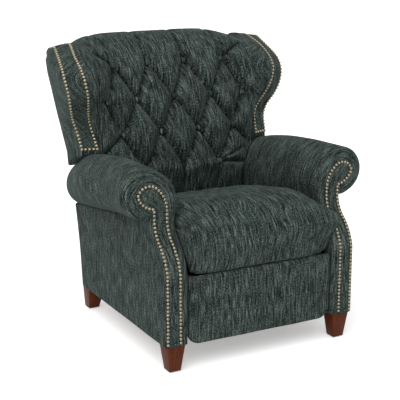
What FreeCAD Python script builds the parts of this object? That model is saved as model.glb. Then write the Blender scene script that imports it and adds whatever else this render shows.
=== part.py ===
# Push-back wing recliner with a diamond-tufted back, rolled arms, nail trim and four tapered legs.
# Millimetres. +Z is up, the front faces -Y, and +X is the sitter's left.
# While it is built, y = 0 is the plane of the front feet; every piece is moved back by
# origin_depth when it is saved, so that the origin ends in the middle of the footprint.

import FreeCAD
import Part
import math
import os

Vector = FreeCAD.Vector

# Overall places
frame_bottom = 102.0
origin_depth = 463.5
slip = 0.3
touch = 0.01
curve_samples = 400

# Legs
leg_top_width = 69.0
leg_foot_width = 45.0
leg_centre_x = 348.0
front_leg_y = 22.5
rear_leg_y = 727.0
rear_leg_rake = 24.0
glide_height = 3.0
glide_radius = 15.0
bolt_radius = 4.0
bolt_rise = 30.0
bolt_depth = 45.0
pin_play = 0.05

# Arms
arm_inner_x = 302.0
arm_outer_x = 392.0
inside_pad_thickness = 20.0
outside_panel_thickness = 9.0
facing_thickness = 14.0
arm_rear_low_y = 746.0
arm_rear_rake = 0.11
seam_front_height = 553.0
seam_slope = 0.142
facing_neck_z = seam_front_height - 8.0
facing_front_y = -16.0
facing_straight_top = facing_neck_z - 184.0
facing_knee = (9.0, facing_neck_z - 123.0)
facing_waist = (48.0, facing_neck_z - 80.0)
facing_hollow = (74.0, facing_neck_z - 45.0)
facing_neck = (84.0, facing_neck_z)
post_depth = 60.0
rail_height = 45.0
rail_thickness = 25.0

# Arm roll
roll_front_y = 94.5
roll_rear_y = 792.0
roll_outer_x = 475.0
roll_inner_x = 290.0
roll_top_x = 381.0
roll_belly_rise = 93.0
roll_height = 172.0
roll_hump = 36.0
roll_rear_taper = 52.0
roll_round = 22.0
roll_stations = 7

roll_seam_inset = 4.0

# Scroll head of the facing
head_inner_x = 321.0
head_outer_x = 456.0
head_shoulder_x = 450.0
head_cheek_x = 432.0
head_top_z = facing_neck_z + 153.0
head_shoulder_z = facing_neck_z + 111.0
head_belly_z = facing_neck_z + 65.0
head_cheek_z = facing_neck_z + 31.0

# Nail trim
nail_radius = 5.4
nail_sphere_radius = 7.0
nail_pitch = 13.8
nail_seat = 0.4
wing_nail_seat = 0.95
arm_nail_outer_x = 383.0
arm_nail_inner_x = 334.0
arm_nail_bottom_z = frame_bottom + 12.0
arm_nail_turn_z = facing_neck_z + 33.0
scroll_low = (418.0, facing_neck_z + 52.0)
scroll_side = (438.0, facing_neck_z + 85.0)
scroll_top = (404.0, facing_neck_z + 115.0)
scroll_inner = (369.0, facing_neck_z + 103.0)
scroll_return = (343.0, facing_neck_z + 67.0)
scroll_end_z = facing_neck_z + 21.0

# Steel mechanism
steel = 3.0
layer_pitch = 4.0
pin_radius = 5.0
head_radius = 7.5
head_thickness = 1.4
link_half_width = 11.0
bracket_half_width = 20.0
drive_pivot = (95.0, 296.0)
drive_length = 188.0
drive_closed_angle = -100.0
panel_pivot = (60.0, 270.0)
swing_pivot_z = 290.0
rear_swing_y = 560.0
front_swing_y = 250.0
swing_length = 110.0
swing_rest_tilt = 8.0
back_hinge = (660.0, 300.0)
tube_radius = 12.0
tube_wall = 2.5

# Seat
seat_rail_bottom = 284.0
seat_rail_top = 326.0
seat_spacer_thickness = 19.0
seat_rail_width = 32.0
seat_front_y = 47.0
seat_rear_y = 640.0
seat_board = 33.0
spring_wire = 1.9
spring_gap = 0.1
spring_reach = 30.0
spring_places = (-1.5, -0.5, 0.5, 1.5)
seat_spring_pitch = 110.0
seat_spring_turn = 46.0
deck_overhang = 14.0
cushion_half_width = 298.0
cushion_bottom = 344.0
cushion_front_side_y = -16.0
cushion_front_bulge = 18.0
cushion_rear_y = 604.0
cushion_crown_z = 536.0
cushion_rear_top_z = 466.0
cushion_stations = 11
cushion_side_fall = 10.0
cushion_toe = 18.0
cushion_brow = 34.0
cushion_brow_drop = 24.0
cushion_crown_start = 120.0
cushion_crown_end = 250.0
cushion_crown_drop = 4.0
cushion_slope_y = 384.0
cushion_slope_rise = 8.0
cushion_heel = 16.0
cushion_draw_front = 12.0
cushion_draw_top = 26.0
cushion_draw_rear_top = 14.0
cushion_draw_low = 8.0

# Footrest
footrest_half_width = 297.0
footrest_front_y = -10.0
footrest_bottom = 92.0
footrest_top = 340.0
footrest_corner = 48.0
footrest_pad_thickness = 22.0
footrest_board_thickness = 16.0
footrest_board_margin = 9.0

# Base cross rails
cross_rail_y = 165.0
cross_rail_depth = 25.0
cross_rail_height = 48.0
rear_rail_y = 700.0
rear_panel_top = 236.0
rear_panel_thickness = 10.0

# Back
back_rear_y_at_hinge = 709.0
back_slope = 0.3275
outside_back_thickness = 8.0
back_foot_y = 632.0
back_waist_y = 556.0
back_shoulder_y = 640.0
back_low_half_width = 282.0
back_pad_half_width = 345.0
back_post_depth = 40.0
back_post_width = 35.0
back_post_bottom = 316.0
back_rear_top = 1056.0
back_frame_top = back_rear_top - 16.0
back_crest_z = back_rear_top + 39.0
back_pad_bottom = 335.0
back_rail_height = 45.0
back_rail_middle_z = 660.0
back_sheet_bottom = 255.0
back_spring_pitch = 100.0
back_spring_turn = 52.0
wing_over_roll = 15.0
wing_cut_y = 640.0
wing_cut_slope = 0.28
wing_foot_rise = 12.0
nail_to_edge = 9.0
wing_tuck = 4.0
button_radius = 11.0
button_ball_radius = 14.3
dimple_depth = 60.0
dimple_half_width = 45.0
tuft_reach = 296.0
tuft_tilt = 22.0
tuft_neighbour = 100.0
crest_pleat_depth = 110.0
crest_pleat_rise = 120.0
low_pleat_depth = 24.0
low_pleat_drop = 150.0
side_pleat_run = 80.0
side_pleat_drop = 70.0
tuft_groove_half_width = 30.0
tuft_groove_rise = 62.0

# Worked out
leg_height = frame_bottom
seat_frame_half_width = arm_inner_x - 2 * layer_pitch - steel - seat_spacer_thickness
mechanism_top = cushion_bottom - 9.0
swing_drop = swing_length * math.cos(math.radians(swing_rest_tilt))
swing_back = swing_length * math.sin(math.radians(swing_rest_tilt))
drive_angle = math.radians(drive_closed_angle)
knee_pivot = (
    drive_pivot[0] - drive_length * math.cos(drive_angle),
    drive_pivot[1] + drive_length * math.sin(drive_angle),
)
front_swing_low = (front_swing_y + swing_back, swing_pivot_z - swing_drop)
rear_swing_low = (rear_swing_y + swing_back, swing_pivot_z - swing_drop)
rear_top_y = back_rear_y_at_hinge + back_slope * (back_rear_top - back_hinge[1])

os.makedirs("parts", exist_ok=True)


# Shared shapes and places

def box(x0, x1, y0, y1, z0, z1):
    return Part.makeBox(x1 - x0, y1 - y0, z1 - z0, Vector(x0, y0, z0))


def rod_x(place, radius, x0, x1):
    return Part.makeCylinder(radius, x1 - x0, Vector(x0, place[0], place[1]), Vector(1, 0, 0))


def side_wire(points, x):
    corners = [Vector(x, y, z) for y, z in points]
    return Part.makePolygon(corners + corners[:1])


def side_plate(points, x0, x1):
    return Part.Face(side_wire(points, x0)).extrude(Vector(x1 - x0, 0, 0))


def arc(a, b, c):
    return Part.Arc(Vector(*a), Vector(*b), Vector(*c)).toShape()


def line(a, b):
    return Part.LineSegment(Vector(*a), Vector(*b)).toShape()


def mirrored(shape):
    return shape.mirror(Vector(0, 0, 0), Vector(1, 0, 0))


def pair(shape):
    return Part.makeCompound([shape, mirrored(shape)])


def save(name, shape):
    placed = shape.copy()
    placed.translate(Vector(0, -origin_depth, 0))
    solids = placed.Solids
    print(name, len(solids), placed.isValid(), round(sum(s.Volume for s in solids) / 1000.0, 1))
    placed.exportStep("parts/" + name + ".step")


def save_sides(name, shape):
    save(name + "_left", shape)
    save(name + "_right", mirrored(shape))


def bar(a, b, half_width, x0, x1):
    """Flat steel link with round ends, between the pivots a and b."""
    run = math.hypot(b[0] - a[0], b[1] - a[1])
    across = (-(b[1] - a[1]) / run * half_width, (b[0] - a[0]) / run * half_width)
    corners = [
        (a[0] + across[0], a[1] + across[1]),
        (b[0] + across[0], b[1] + across[1]),
        (b[0] - across[0], b[1] - across[1]),
        (a[0] - across[0], a[1] - across[1]),
    ]
    link = side_plate(corners, x0, x1)
    link = link.fuse([rod_x(a, half_width, x0, x1), rod_x(b, half_width, x0, x1)])
    return link.removeSplitter()


def pin_hole(place, x0, x1):
    return rod_x(place, pin_radius + pin_play, x0 - 1, x1 + 1)


def layer(number):
    """Inner and outer x of one steel layer, counted inwards from the arm."""
    outer = arm_inner_x - number * layer_pitch
    return outer - steel, outer


def rear_y(z):
    """Outer face of the back at height z."""
    return back_rear_y_at_hinge + back_slope * (z - back_hinge[1])


def seam_z(y):
    """Height where the arm's panels meet the roll."""
    return seam_front_height - seam_slope * y


def arm_rear_y(z):
    return arm_rear_low_y + arm_rear_rake * (z - frame_bottom)


# Legs: tapered wood, each screwed up into the arm frame on a bolt, with a glide under the foot

def tapered_leg(top_y, foot_y):
    def square(centre_y, z, width):
        half = width / 2.0
        corners = []
        for sx, sy in ((-1, -1), (1, -1), (1, 1), (-1, 1)):
            corners.append(Vector(leg_centre_x + sx * half, centre_y + sy * half, z))
        return Part.makePolygon(corners + corners[:1])
    foot = square(foot_y, glide_height, leg_foot_width)
    top = square(top_y, leg_height, leg_top_width)
    leg = Part.makeLoft([foot, top], True, True)
    hole = Part.makeCylinder(
        bolt_radius + pin_play, bolt_depth + 1, Vector(leg_centre_x, top_y, leg_height - bolt_depth))
    return leg.cut(hole)


leg_places = (
    ("front_leg", front_leg_y, front_leg_y),
    ("rear_leg", rear_leg_y, rear_leg_y + rear_leg_rake),
)
glides = []
bolts = []
for leg_name, top_y, foot_y in leg_places:
    save_sides(leg_name, tapered_leg(top_y, foot_y))
    glide = Part.makeCylinder(glide_radius, glide_height, Vector(leg_centre_x, foot_y, 0))
    bolt = Part.makeCylinder(
        bolt_radius, bolt_depth + bolt_rise, Vector(leg_centre_x, top_y, leg_height - bolt_depth))
    glides += [glide, mirrored(glide)]
    bolts += [bolt, mirrored(bolt)]
save("leg_glides", Part.makeCompound(glides))
save("leg_bolts", Part.makeCompound(bolts))


# Arm frame: sawn front post behind the facing, straight rear post, rails between them

frame_inner_x = arm_inner_x + inside_pad_thickness + slip
frame_outer_x = arm_outer_x - outside_panel_thickness - slip


def facing_path(x, shift, z_low, z_top):
    """Front edge of the facing seen from the side: straight, then the double curve, then the neck."""
    def at(place):
        return (x, place[0] + shift, place[1])
    low = (facing_front_y, z_low)
    knee_start = (facing_front_y, facing_straight_top)
    top = (facing_neck[0], z_top)
    return [
        line(at(low), at(knee_start)),
        arc(at(knee_start), at(facing_knee), at(facing_waist)),
        arc(at(facing_waist), at(facing_hollow), at(facing_neck)),
        line(at(facing_neck), at(top)),
    ]


def behind_facing(x0, x1, shift, z_low, z_top, rear_points):
    """Side plate whose front edge follows the facing, closed by the given points behind."""
    edges = facing_path(x0, shift, z_low, z_top)
    ring = [(facing_neck[0] + shift, z_top)] + rear_points + [(facing_front_y + shift, z_low)]
    for a, b in zip(ring, ring[1:]):
        edges.append(line((x0, a[0], a[1]), (x0, b[0], b[1])))
    return Part.Face(Part.Wire(edges)).extrude(Vector(x1 - x0, 0, 0))


post_front = facing_thickness + slip
neck_y = facing_neck[0] + post_front
post_top = seam_z(neck_y + post_depth)
front_post = behind_facing(
    frame_inner_x, frame_outer_x, post_front, frame_bottom, post_top,
    [(neck_y + post_depth, post_top), (neck_y + post_depth, facing_waist[1]),
     (facing_front_y + post_front + post_depth, facing_straight_top - post_depth),
     (facing_front_y + post_front + post_depth, frame_bottom)])
front_bolt_hole = Part.makeCylinder(
    bolt_radius + pin_play, bolt_rise + 1, Vector(leg_centre_x, front_leg_y, frame_bottom))
save_sides("arm_front_post", front_post.cut(front_bolt_hole))

rear_post_front = rear_leg_y - post_depth / 2.0
rear_post_top = seam_z(rear_post_front + post_depth)
rear_post = box(
    frame_inner_x, frame_outer_x, rear_post_front, rear_post_front + post_depth,
    frame_bottom, rear_post_top)
rear_bolt_hole = Part.makeCylinder(
    bolt_radius + pin_play, bolt_rise + 1, Vector(leg_centre_x, rear_leg_y, frame_bottom))
save_sides("arm_rear_post", rear_post.cut(rear_bolt_hole))

rail_x0 = (frame_inner_x + frame_outer_x - rail_thickness) / 2.0
rail_x1 = rail_x0 + rail_thickness
bottom_rail = box(
    rail_x0, rail_x1, facing_front_y + post_front + post_depth, rear_post_front,
    frame_bottom, frame_bottom + rail_height)
rail_front_y = neck_y + post_depth
top_rail = side_plate(
    [(rail_front_y, seam_z(rail_front_y) - rail_height),
     (rear_post_front, seam_z(rear_post_front) - rail_height),
     (rear_post_front, seam_z(rear_post_front)), (rail_front_y, seam_z(rail_front_y))],
    rail_x0, rail_x1)
save_sides("arm_rails", Part.makeCompound([bottom_rail, top_rail]))


# Arm covers: plywood mechanism board low inside, pad above it, panel outside

def arm_side(x0, x1, z_low, z_top_limit):
    front_top_z = seam_z(neck_y)
    rear_top = arm_rear_y(seam_z(arm_rear_low_y))
    plate = behind_facing(
        x0, x1, post_front, frame_bottom, front_top_z - slip,
        [(rear_top, seam_z(rear_top) - slip), (arm_rear_y(frame_bottom), frame_bottom)])
    keep = box(x0, x1, 2 * facing_front_y, 2 * rear_top, z_low, z_top_limit)
    return plate.common(keep)


board = arm_side(arm_inner_x, arm_inner_x + inside_pad_thickness, frame_bottom, mechanism_top)
save_sides("mechanism_board", board)
inside_pad = arm_side(
    arm_inner_x, arm_inner_x + inside_pad_thickness, mechanism_top + slip, seam_front_height)
save_sides("inside_arm_pad", inside_pad)
outside_panel = arm_side(
    arm_outer_x - outside_panel_thickness, arm_outer_x, frame_bottom, seam_front_height)
save_sides("outside_arm_panel", outside_panel)


# Arm roll: padded scroll that drops a little to the rear and is rounded at both ends

def roll_top_z(y):
    share = (y - roll_front_y) / (roll_rear_y - roll_front_y)
    return seam_z(y) + roll_height + roll_hump * math.sin(math.pi * share)


def roll_section(y, inset):
    base = seam_z(y) + 0.5 * inset
    belly = seam_z(y) + roll_belly_rise
    share = (y - roll_front_y) / (roll_rear_y - roll_front_y)
    outer_x = roll_outer_x - roll_rear_taper * max(0.0, 2 * share - 1) ** 2
    top = (roll_top_x, y, roll_top_z(y) - inset)
    outer_low = (arm_outer_x - roll_seam_inset - 0.3 * inset, y, base)
    inner_low = (arm_inner_x + 0.3 * inset, y, base)
    return Part.Wire([
        arc(outer_low, (outer_x - inset, y, belly), top),
        arc(top, (roll_inner_x + inset, y, belly), inner_low),
        line(inner_low, outer_low),
    ])


def rounded_end(y, inward):
    """End of the roll, rounded over from its flat face at y to its full size further inward."""
    wires = []
    for angle in (90, 60, 30, 0):
        turn = math.radians(angle)
        depth = roll_round * (1 - math.sin(turn))
        wires.append(roll_section(y + inward * depth, roll_round * (1 - math.cos(turn))))
    return Part.makeLoft(wires, True, True)


middle_front = roll_front_y + roll_round
middle_rear = roll_rear_y - roll_round
middle_wires = []
for number in range(roll_stations):
    middle_wires.append(roll_section(
        middle_front + (middle_rear - middle_front) * number / (roll_stations - 1), 0.0))
roll = Part.makeLoft(middle_wires, True, False)
roll = roll.fuse([rounded_end(roll_front_y, 1), rounded_end(roll_rear_y, -1)])
save_sides("arm_roll", roll)


# Arm facing: board bent to the double curve, with the scroll head in front of the roll

head_edges = [
    line((arm_inner_x, 0, frame_bottom), (arm_inner_x, 0, facing_neck_z)),
    arc((arm_inner_x, 0, facing_neck_z), (head_inner_x, 0, head_shoulder_z), (roll_top_x, 0, head_top_z)),
    arc((roll_top_x, 0, head_top_z), (head_shoulder_x, 0, head_shoulder_z),
        (head_outer_x, 0, head_belly_z)),
    arc((head_outer_x, 0, head_belly_z), (head_cheek_x, 0, head_cheek_z),
        (arm_outer_x, 0, facing_neck_z)),
    line((arm_outer_x, 0, facing_neck_z), (arm_outer_x, 0, frame_bottom)),
    line((arm_outer_x, 0, frame_bottom), (arm_inner_x, 0, frame_bottom)),
]
front_outline = Part.Face(Part.Wire(head_edges)).extrude(Vector(0, roll_rear_y, 0))
front_outline.translate(Vector(0, 2 * facing_front_y, 0))
band_front = facing_path(arm_inner_x, 0, frame_bottom, head_top_z)
band_back = facing_path(arm_inner_x, facing_thickness, frame_bottom, head_top_z)
neck_front_y = facing_neck[0]
band_edges = band_front + band_back + [
    line((arm_inner_x, neck_front_y, head_top_z),
         (arm_inner_x, neck_front_y + facing_thickness, head_top_z)),
    line((arm_inner_x, facing_front_y, frame_bottom),
         (arm_inner_x, facing_front_y + facing_thickness, frame_bottom)),
]
band = Part.Face(Part.Wire(Part.__sortEdges__(band_edges))).extrude(Vector(head_outer_x - arm_inner_x, 0, 0))
facing = band.common(front_outline)
behind_head = box(
    0, 2 * roll_outer_x, roll_front_y - touch, roll_rear_y, facing_neck_z - 6.0, 2 * head_top_z)
save_sides("arm_facing", facing.cut(behind_head))


# Nail trim on the arm facing: up the outer edge, round the scroll and down the inner edge

def nail(place, normal, lift):
    """Domed nail head whose flat underside is lifted a little off the cloth at place."""
    half_angle = math.degrees(math.acos(nail_radius / nail_sphere_radius))
    sink = nail_sphere_radius * math.sin(math.radians(half_angle))
    centre = place + normal * (lift - sink)
    return Part.makeSphere(nail_sphere_radius, centre, normal, half_angle, 90, 360)


def along(wire, pitch):
    """Evenly spaced points and the directions between them."""
    count = max(2, int(round(wire.Length / pitch)) + 1)
    return wire.discretize(Number=count)


facing_curve = Part.Wire(facing_path(0, 0, frame_bottom, head_top_z))
curve_points = facing_curve.discretize(Number=curve_samples)


def facing_at(z):
    """Depth and outward normal of the facing at height z."""
    for low, high in zip(curve_points, curve_points[1:]):
        if low.z <= z <= high.z and high.z > low.z:
            share = (z - low.z) / (high.z - low.z)
            slope = (high.y - low.y) / (high.z - low.z)
            normal = Vector(0, -1, slope)
            normal.normalize()
            return low.y + share * (high.y - low.y), normal
    return facing_neck[0], Vector(0, -1, 0)


def at_front(place):
    return (place[0], 0, place[1])


scroll_nails = Part.Wire([
    line((arm_nail_outer_x, 0, arm_nail_bottom_z), (arm_nail_outer_x, 0, arm_nail_turn_z)),
    arc((arm_nail_outer_x, 0, arm_nail_turn_z), at_front(scroll_low), at_front(scroll_side)),
    arc(at_front(scroll_side), at_front(scroll_top), at_front(scroll_inner)),
    arc(at_front(scroll_inner), at_front(scroll_return), (arm_nail_inner_x, 0, scroll_end_z)),
    line((arm_nail_inner_x, 0, scroll_end_z), (arm_nail_inner_x, 0, arm_nail_bottom_z)),
])
arm_nails = []
for spot in along(scroll_nails, nail_pitch):
    depth, normal = facing_at(spot.z)
    head = nail(Vector(spot.x, depth, spot.z), normal, nail_seat)
    arm_nails += [head, mirrored(head)]
save("arm_nails", Part.makeCompound(arm_nails))


# Base: two cross rails between the arms and a covered panel low at the rear

front_cross = box(
    -arm_inner_x, arm_inner_x, cross_rail_y, cross_rail_y + cross_rail_depth,
    frame_bottom, frame_bottom + cross_rail_height)
save("base_front_rail", front_cross)
rear_cross = box(
    -arm_inner_x, arm_inner_x, rear_rail_y, rear_rail_y + cross_rail_depth,
    frame_bottom, frame_bottom + cross_rail_height)
save("base_rear_rail", rear_cross)
rear_panel = box(
    -arm_inner_x + slip, arm_inner_x - slip, rear_rail_y + cross_rail_depth + slip,
    rear_rail_y + cross_rail_depth + slip + rear_panel_thickness, frame_bottom, rear_panel_top)
save("lower_rear_panel", rear_panel)


# Swing links: they carry the seat plates from the brackets on the arms

x0, x1 = layer(0)
front_upper = (front_swing_y, swing_pivot_z)
rear_upper = (rear_swing_y, swing_pivot_z)
bracket = bar(front_upper, rear_upper, bracket_half_width, x0, x1)
bracket = bracket.cut([pin_hole(front_upper, x0, x1), pin_hole(rear_upper, x0, x1)])
save("base_brackets", pair(bracket))

link_x0, link_x1 = layer(1)
plate_x0, plate_x1 = layer(2)
upper_pins = []
lower_pins = []
swing_places = (
    ("front_swing_links", front_upper, front_swing_low),
    ("rear_swing_links", rear_upper, rear_swing_low),
)
for link_name, upper, lower in swing_places:
    link = bar(upper, lower, link_half_width, link_x0, link_x1)
    link = link.cut([pin_hole(upper, link_x0, link_x1), pin_hole(lower, link_x0, link_x1)])
    save(link_name, pair(link))
    upper_pin = rod_x(upper, pin_radius, link_x0, arm_inner_x)
    lower_pin = rod_x(lower, pin_radius, plate_x0, link_x1 + slip)
    lower_head = rod_x(lower, head_radius, link_x1 + slip, link_x1 + slip + head_thickness)
    lower_pin = lower_pin.fuse(lower_head)
    upper_pins += [upper_pin, mirrored(upper_pin)]
    lower_pins += [lower_pin, mirrored(lower_pin)]
save("swing_upper_pins", Part.makeCompound(upper_pins))
save("swing_lower_pins", Part.makeCompound(lower_pins))


# Seat plates and wooden seat frame

plate_outline = [
    (drive_pivot[0] - 18, drive_pivot[1] - 16), (drive_pivot[0] - 18, seat_rail_top),
    (back_hinge[0] + 18, seat_rail_top), (back_hinge[0] + 18, back_hinge[1] - 18),
    (rear_swing_low[0] + 20, rear_swing_low[1] - 16), (front_swing_low[0] - 16, front_swing_low[1] - 16),
    (drive_pivot[0] + 34, drive_pivot[1] - 16)]
plate = side_plate(plate_outline, plate_x0, plate_x1)
plate_pivots = (drive_pivot, front_swing_low, rear_swing_low, back_hinge)
plate = plate.cut([pin_hole(place, plate_x0, plate_x1) for place in plate_pivots])
save("seat_plates", pair(plate))

rail_inner = seat_frame_half_width - seat_rail_width
side_rail = box(
    rail_inner, seat_frame_half_width, seat_front_y, seat_rear_y, seat_rail_bottom, seat_rail_top)
spacer = box(
    seat_frame_half_width, plate_x0, cross_rail_y + 2 * cross_rail_depth, seat_rear_y - 40,
    seat_rail_bottom, seat_rail_top)
tube_hole = rod_x(drive_pivot, tube_radius + 1.0, 0, seat_frame_half_width + 10)
save_sides("seat_rail", side_rail.fuse(spacer).removeSplitter().cut(tube_hole))
front_rail = box(
    -rail_inner, rail_inner, seat_front_y, seat_front_y + seat_board, seat_rail_bottom, seat_rail_top)
save("seat_front_rail", front_rail)
rear_rail = box(
    -rail_inner, rail_inner, seat_rear_y - seat_board, seat_rear_y, seat_rail_bottom, seat_rail_top)
save("seat_rear_rail", rear_rail)


# Sinuous springs: bent steel wires, side by side, from rail to rail

def sinuous(length, reach, pitch):
    """One wire in the XY plane, from y = 0 to y = length, with its turns reaching to +-reach."""
    turns = int(length / pitch)
    step = length / turns
    radius = step / 2.0
    straight = reach - radius
    edges = []
    side = 1
    for number in range(turns):
        y = number * step
        edges.append(line((-side * straight, y, 0), (side * straight, y, 0)))
        bend = (side * reach, y + radius, 0)
        edges.append(arc((side * straight, y, 0), bend, (side * straight, y + step, 0)))
        side = -side
    edges.append(line((-side * straight, length, 0), (side * straight, length, 0)))
    path = Part.Wire(edges)
    ring = Part.Wire(Part.makeCircle(spring_wire, Vector(-straight, 0, 0), Vector(1, 0, 0)))
    return path.makePipeShell([ring], True, False)


seat_wire = sinuous(seat_rear_y - seat_front_y - seat_board, spring_reach, seat_spring_turn)
seat_wires = []
for place in spring_places:
    wire = seat_wire.copy()
    wire.translate(Vector(
        place * seat_spring_pitch, seat_front_y + seat_board / 2.0, seat_rail_top + spring_wire + spring_gap))
    seat_wires.append(wire)
save("seat_springs", Part.makeCompound(seat_wires))

deck_bottom = seat_rail_top + 2 * spring_wire + spring_gap + slip
deck = box(
    -seat_frame_half_width, seat_frame_half_width, seat_front_y - deck_overhang,
    cushion_rear_y, deck_bottom, cushion_bottom - slip)
save("deck_pad", deck)


# Seat cushion: crowned, with the front rolled over and the sides drawn in

def cushion_section(x, draw):
    """Outline at x. draw is how far the side seam has pulled it in, from 0 to 1."""
    share = x / cushion_half_width
    front = cushion_front_side_y - cushion_front_bulge * (1 - share * share) + cushion_draw_front * draw
    crown = cushion_crown_z - cushion_side_fall * share * share - cushion_draw_top * draw
    rear_top = cushion_rear_top_z - cushion_draw_rear_top * draw
    low = cushion_bottom + cushion_draw_low * draw
    rear = cushion_rear_y - cushion_draw_low * draw
    brow_z = crown - cushion_brow_drop
    crown_end = (x, front + cushion_crown_end, crown - cushion_crown_drop)
    slope_y = cushion_slope_y + 0.45 * (front - cushion_front_side_y)
    foot = (x, front + cushion_toe, low)
    brow = (x, front + cushion_brow, brow_z)
    shoulder = (x, rear - cushion_heel, rear_top)
    heel = (x, rear, low)
    return Part.Wire([
        arc(foot, (x, front, (low + brow_z) / 2.0), brow),
        arc(brow, (x, front + cushion_crown_start, crown), crown_end),
        arc(crown_end, (x, slope_y, (crown + rear_top) / 2.0 + cushion_slope_rise), shoulder),
        arc(shoulder, (x, rear - 1.0, (rear_top + low) / 2.0 + cushion_heel), heel),
        line(heel, foot),
    ])


cushion_wires = []
for number in range(cushion_stations):
    share = 2.0 * number / (cushion_stations - 1) - 1.0
    cushion_wires.append(cushion_section(share * cushion_half_width, abs(share) ** 5))
cushion = Part.makeLoft(cushion_wires, True, False)
save("seat_cushion", cushion)


# Footrest drive: torque tube, two drive links, two extension links, panel brackets

drive_x0, drive_x1 = layer(3)
extend_x0, extend_x1 = layer(4)
panel_x0, panel_x1 = layer(5)
tube = rod_x(drive_pivot, tube_radius, -drive_x0, drive_x0)
tube = tube.cut(rod_x(drive_pivot, tube_radius - tube_wall, -drive_x0 + 20, drive_x0 - 20))
for side in (-1, 1):
    journal = rod_x(drive_pivot, pin_radius, min(side * (drive_x0 - 1), side * plate_x1),
                    max(side * (drive_x0 - 1), side * plate_x1))
    tube = tube.fuse(journal)
save("torque_tube", tube)

drive_link = bar(drive_pivot, knee_pivot, link_half_width, drive_x0, drive_x1)
drive_link = drive_link.cut([
    pin_hole(drive_pivot, drive_x0, drive_x1), pin_hole(knee_pivot, drive_x0, drive_x1)])
save("drive_links", pair(drive_link))

extend_link = bar(knee_pivot, panel_pivot, link_half_width, extend_x0, extend_x1)
extend_link = extend_link.cut([
    pin_hole(knee_pivot, extend_x0, extend_x1), pin_hole(panel_pivot, extend_x0, extend_x1)])
save("extension_links", pair(extend_link))
knee_pin = rod_x(knee_pivot, pin_radius, extend_x0, drive_x1)
save("knee_pins", pair(knee_pin))

board_rear = footrest_front_y + footrest_pad_thickness + slip + footrest_board_thickness
arm_plate = side_plate(
    [(board_rear, panel_pivot[1] - 50), (panel_pivot[0] + 6, panel_pivot[1] - 12),
     (panel_pivot[0] + 12, panel_pivot[1]), (panel_pivot[0] + 6, panel_pivot[1] + 12),
     (board_rear, panel_pivot[1] + 40)],
    panel_x0, panel_x1)
save("footrest_brackets", pair(arm_plate.cut(pin_hole(panel_pivot, panel_x0, panel_x1))))
panel_pin = rod_x(panel_pivot, pin_radius, panel_x0, extend_x1)
save("footrest_pins", pair(panel_pin))


# Footrest panel: board with a padded, slightly crowned cover whose low corners are rounded

def panel_outline(half, low, high, corner, y):
    cut = corner * (1 - math.sqrt(0.5))
    return Part.Wire([
        line((-half, y, high), (half, y, high)),
        line((half, y, high), (half, y, low + corner)),
        arc((half, y, low + corner), (half - cut, y, low + cut), (half - corner, y, low)),
        line((half - corner, y, low), (-half + corner, y, low)),
        arc((-half + corner, y, low), (-half + cut, y, low + cut), (-half, y, low + corner)),
        line((-half, y, low + corner), (-half, y, high)),
    ])


pad_back = footrest_front_y + footrest_pad_thickness
pad_stations = (
    (pad_back, 0.0), (footrest_front_y + 9, 0.0), (footrest_front_y + 3, 3.5), (footrest_front_y, 11.0))


def inset_outline(inset, y):
    return panel_outline(
        footrest_half_width - inset, footrest_bottom + inset, footrest_top - inset,
        footrest_corner - inset, y)


pad_wires = [inset_outline(inset, y) for y, inset in pad_stations]
save("footrest_pad", Part.makeLoft(pad_wires, True, False))
board_face = Part.Face(inset_outline(footrest_board_margin, pad_back + slip))
save("footrest_board", board_face.extrude(Vector(0, footrest_board_thickness, 0)))


# Back frame: two leaning posts, three rails, brackets on the hinge pins, springs

def leaning(front_offset, rear_offset, z0, z1, half_width):
    """Board that leans with the back, given by its distances in front of the back's outer face."""
    corners = [
        (rear_y(z0) - front_offset, z0), (rear_y(z1) - front_offset, z1),
        (rear_y(z1) - rear_offset, z1), (rear_y(z0) - rear_offset, z0)]
    return side_plate(corners, -half_width, half_width)


bracket_x0, bracket_x1 = layer(4)
back_post_half_span = bracket_x0 - slip
post_rear_offset = outside_back_thickness + slip
post_front_offset = post_rear_offset + back_post_depth
whole = leaning(post_front_offset, post_rear_offset, back_post_bottom, back_frame_top, back_post_half_span)
post_strip = box(
    back_post_half_span - back_post_width, back_post_half_span, 0, 2 * rear_top_y, 0, back_rear_top)
save("back_posts", pair(whole.common(post_strip)))
rail_half = back_post_half_span - back_post_width
rails = []
for z in (back_pad_bottom + 5.0, back_rail_middle_z, back_frame_top - back_rail_height - 5.0):
    rails.append(leaning(post_front_offset, post_rear_offset, z, z + back_rail_height, rail_half))
save("back_cross_rails", Part.makeCompound(rails))

bracket_top = back_hinge[1] + 130.0
bracket_rear_y = rear_y(bracket_top) - post_rear_offset
bracket_line = [
    (back_hinge[0] - 14, back_hinge[1] - 12), (back_hinge[0] + 14, back_hinge[1] - 12),
    (bracket_rear_y, bracket_top), (bracket_rear_y - back_post_depth, bracket_top)]
hinge_bracket = side_plate(bracket_line, bracket_x0, bracket_x1)
save("back_brackets", pair(hinge_bracket.cut(pin_hole(back_hinge, bracket_x0, bracket_x1))))
hinge_pin = rod_x(back_hinge, pin_radius, bracket_x0, plate_x1)
save("back_hinge_pins", pair(hinge_pin))

lean_angle = math.degrees(math.atan(back_slope))
spring_low_z = back_pad_bottom + 30
spring_run = (back_frame_top - 30 - spring_low_z) / math.cos(math.radians(lean_angle))
back_wire = sinuous(spring_run, spring_reach, back_spring_turn)
back_wire.rotate(Vector(0, 0, 0), Vector(1, 0, 0), 90 - lean_angle)
back_wires = []
spring_offset = post_front_offset + (spring_wire + 0.3) / math.cos(math.radians(lean_angle))
for place in spring_places:
    wire = back_wire.copy()
    wire.translate(Vector(place * back_spring_pitch, rear_y(spring_low_z) - spring_offset, spring_low_z))
    back_wires.append(wire)
save("back_springs", Part.makeCompound(back_wires))


# Tufted back pad: barrel-shaped, crowned over the top, with diamond tufts sewn in

pad_offset = spring_offset + spring_wire + 1.5


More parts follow.
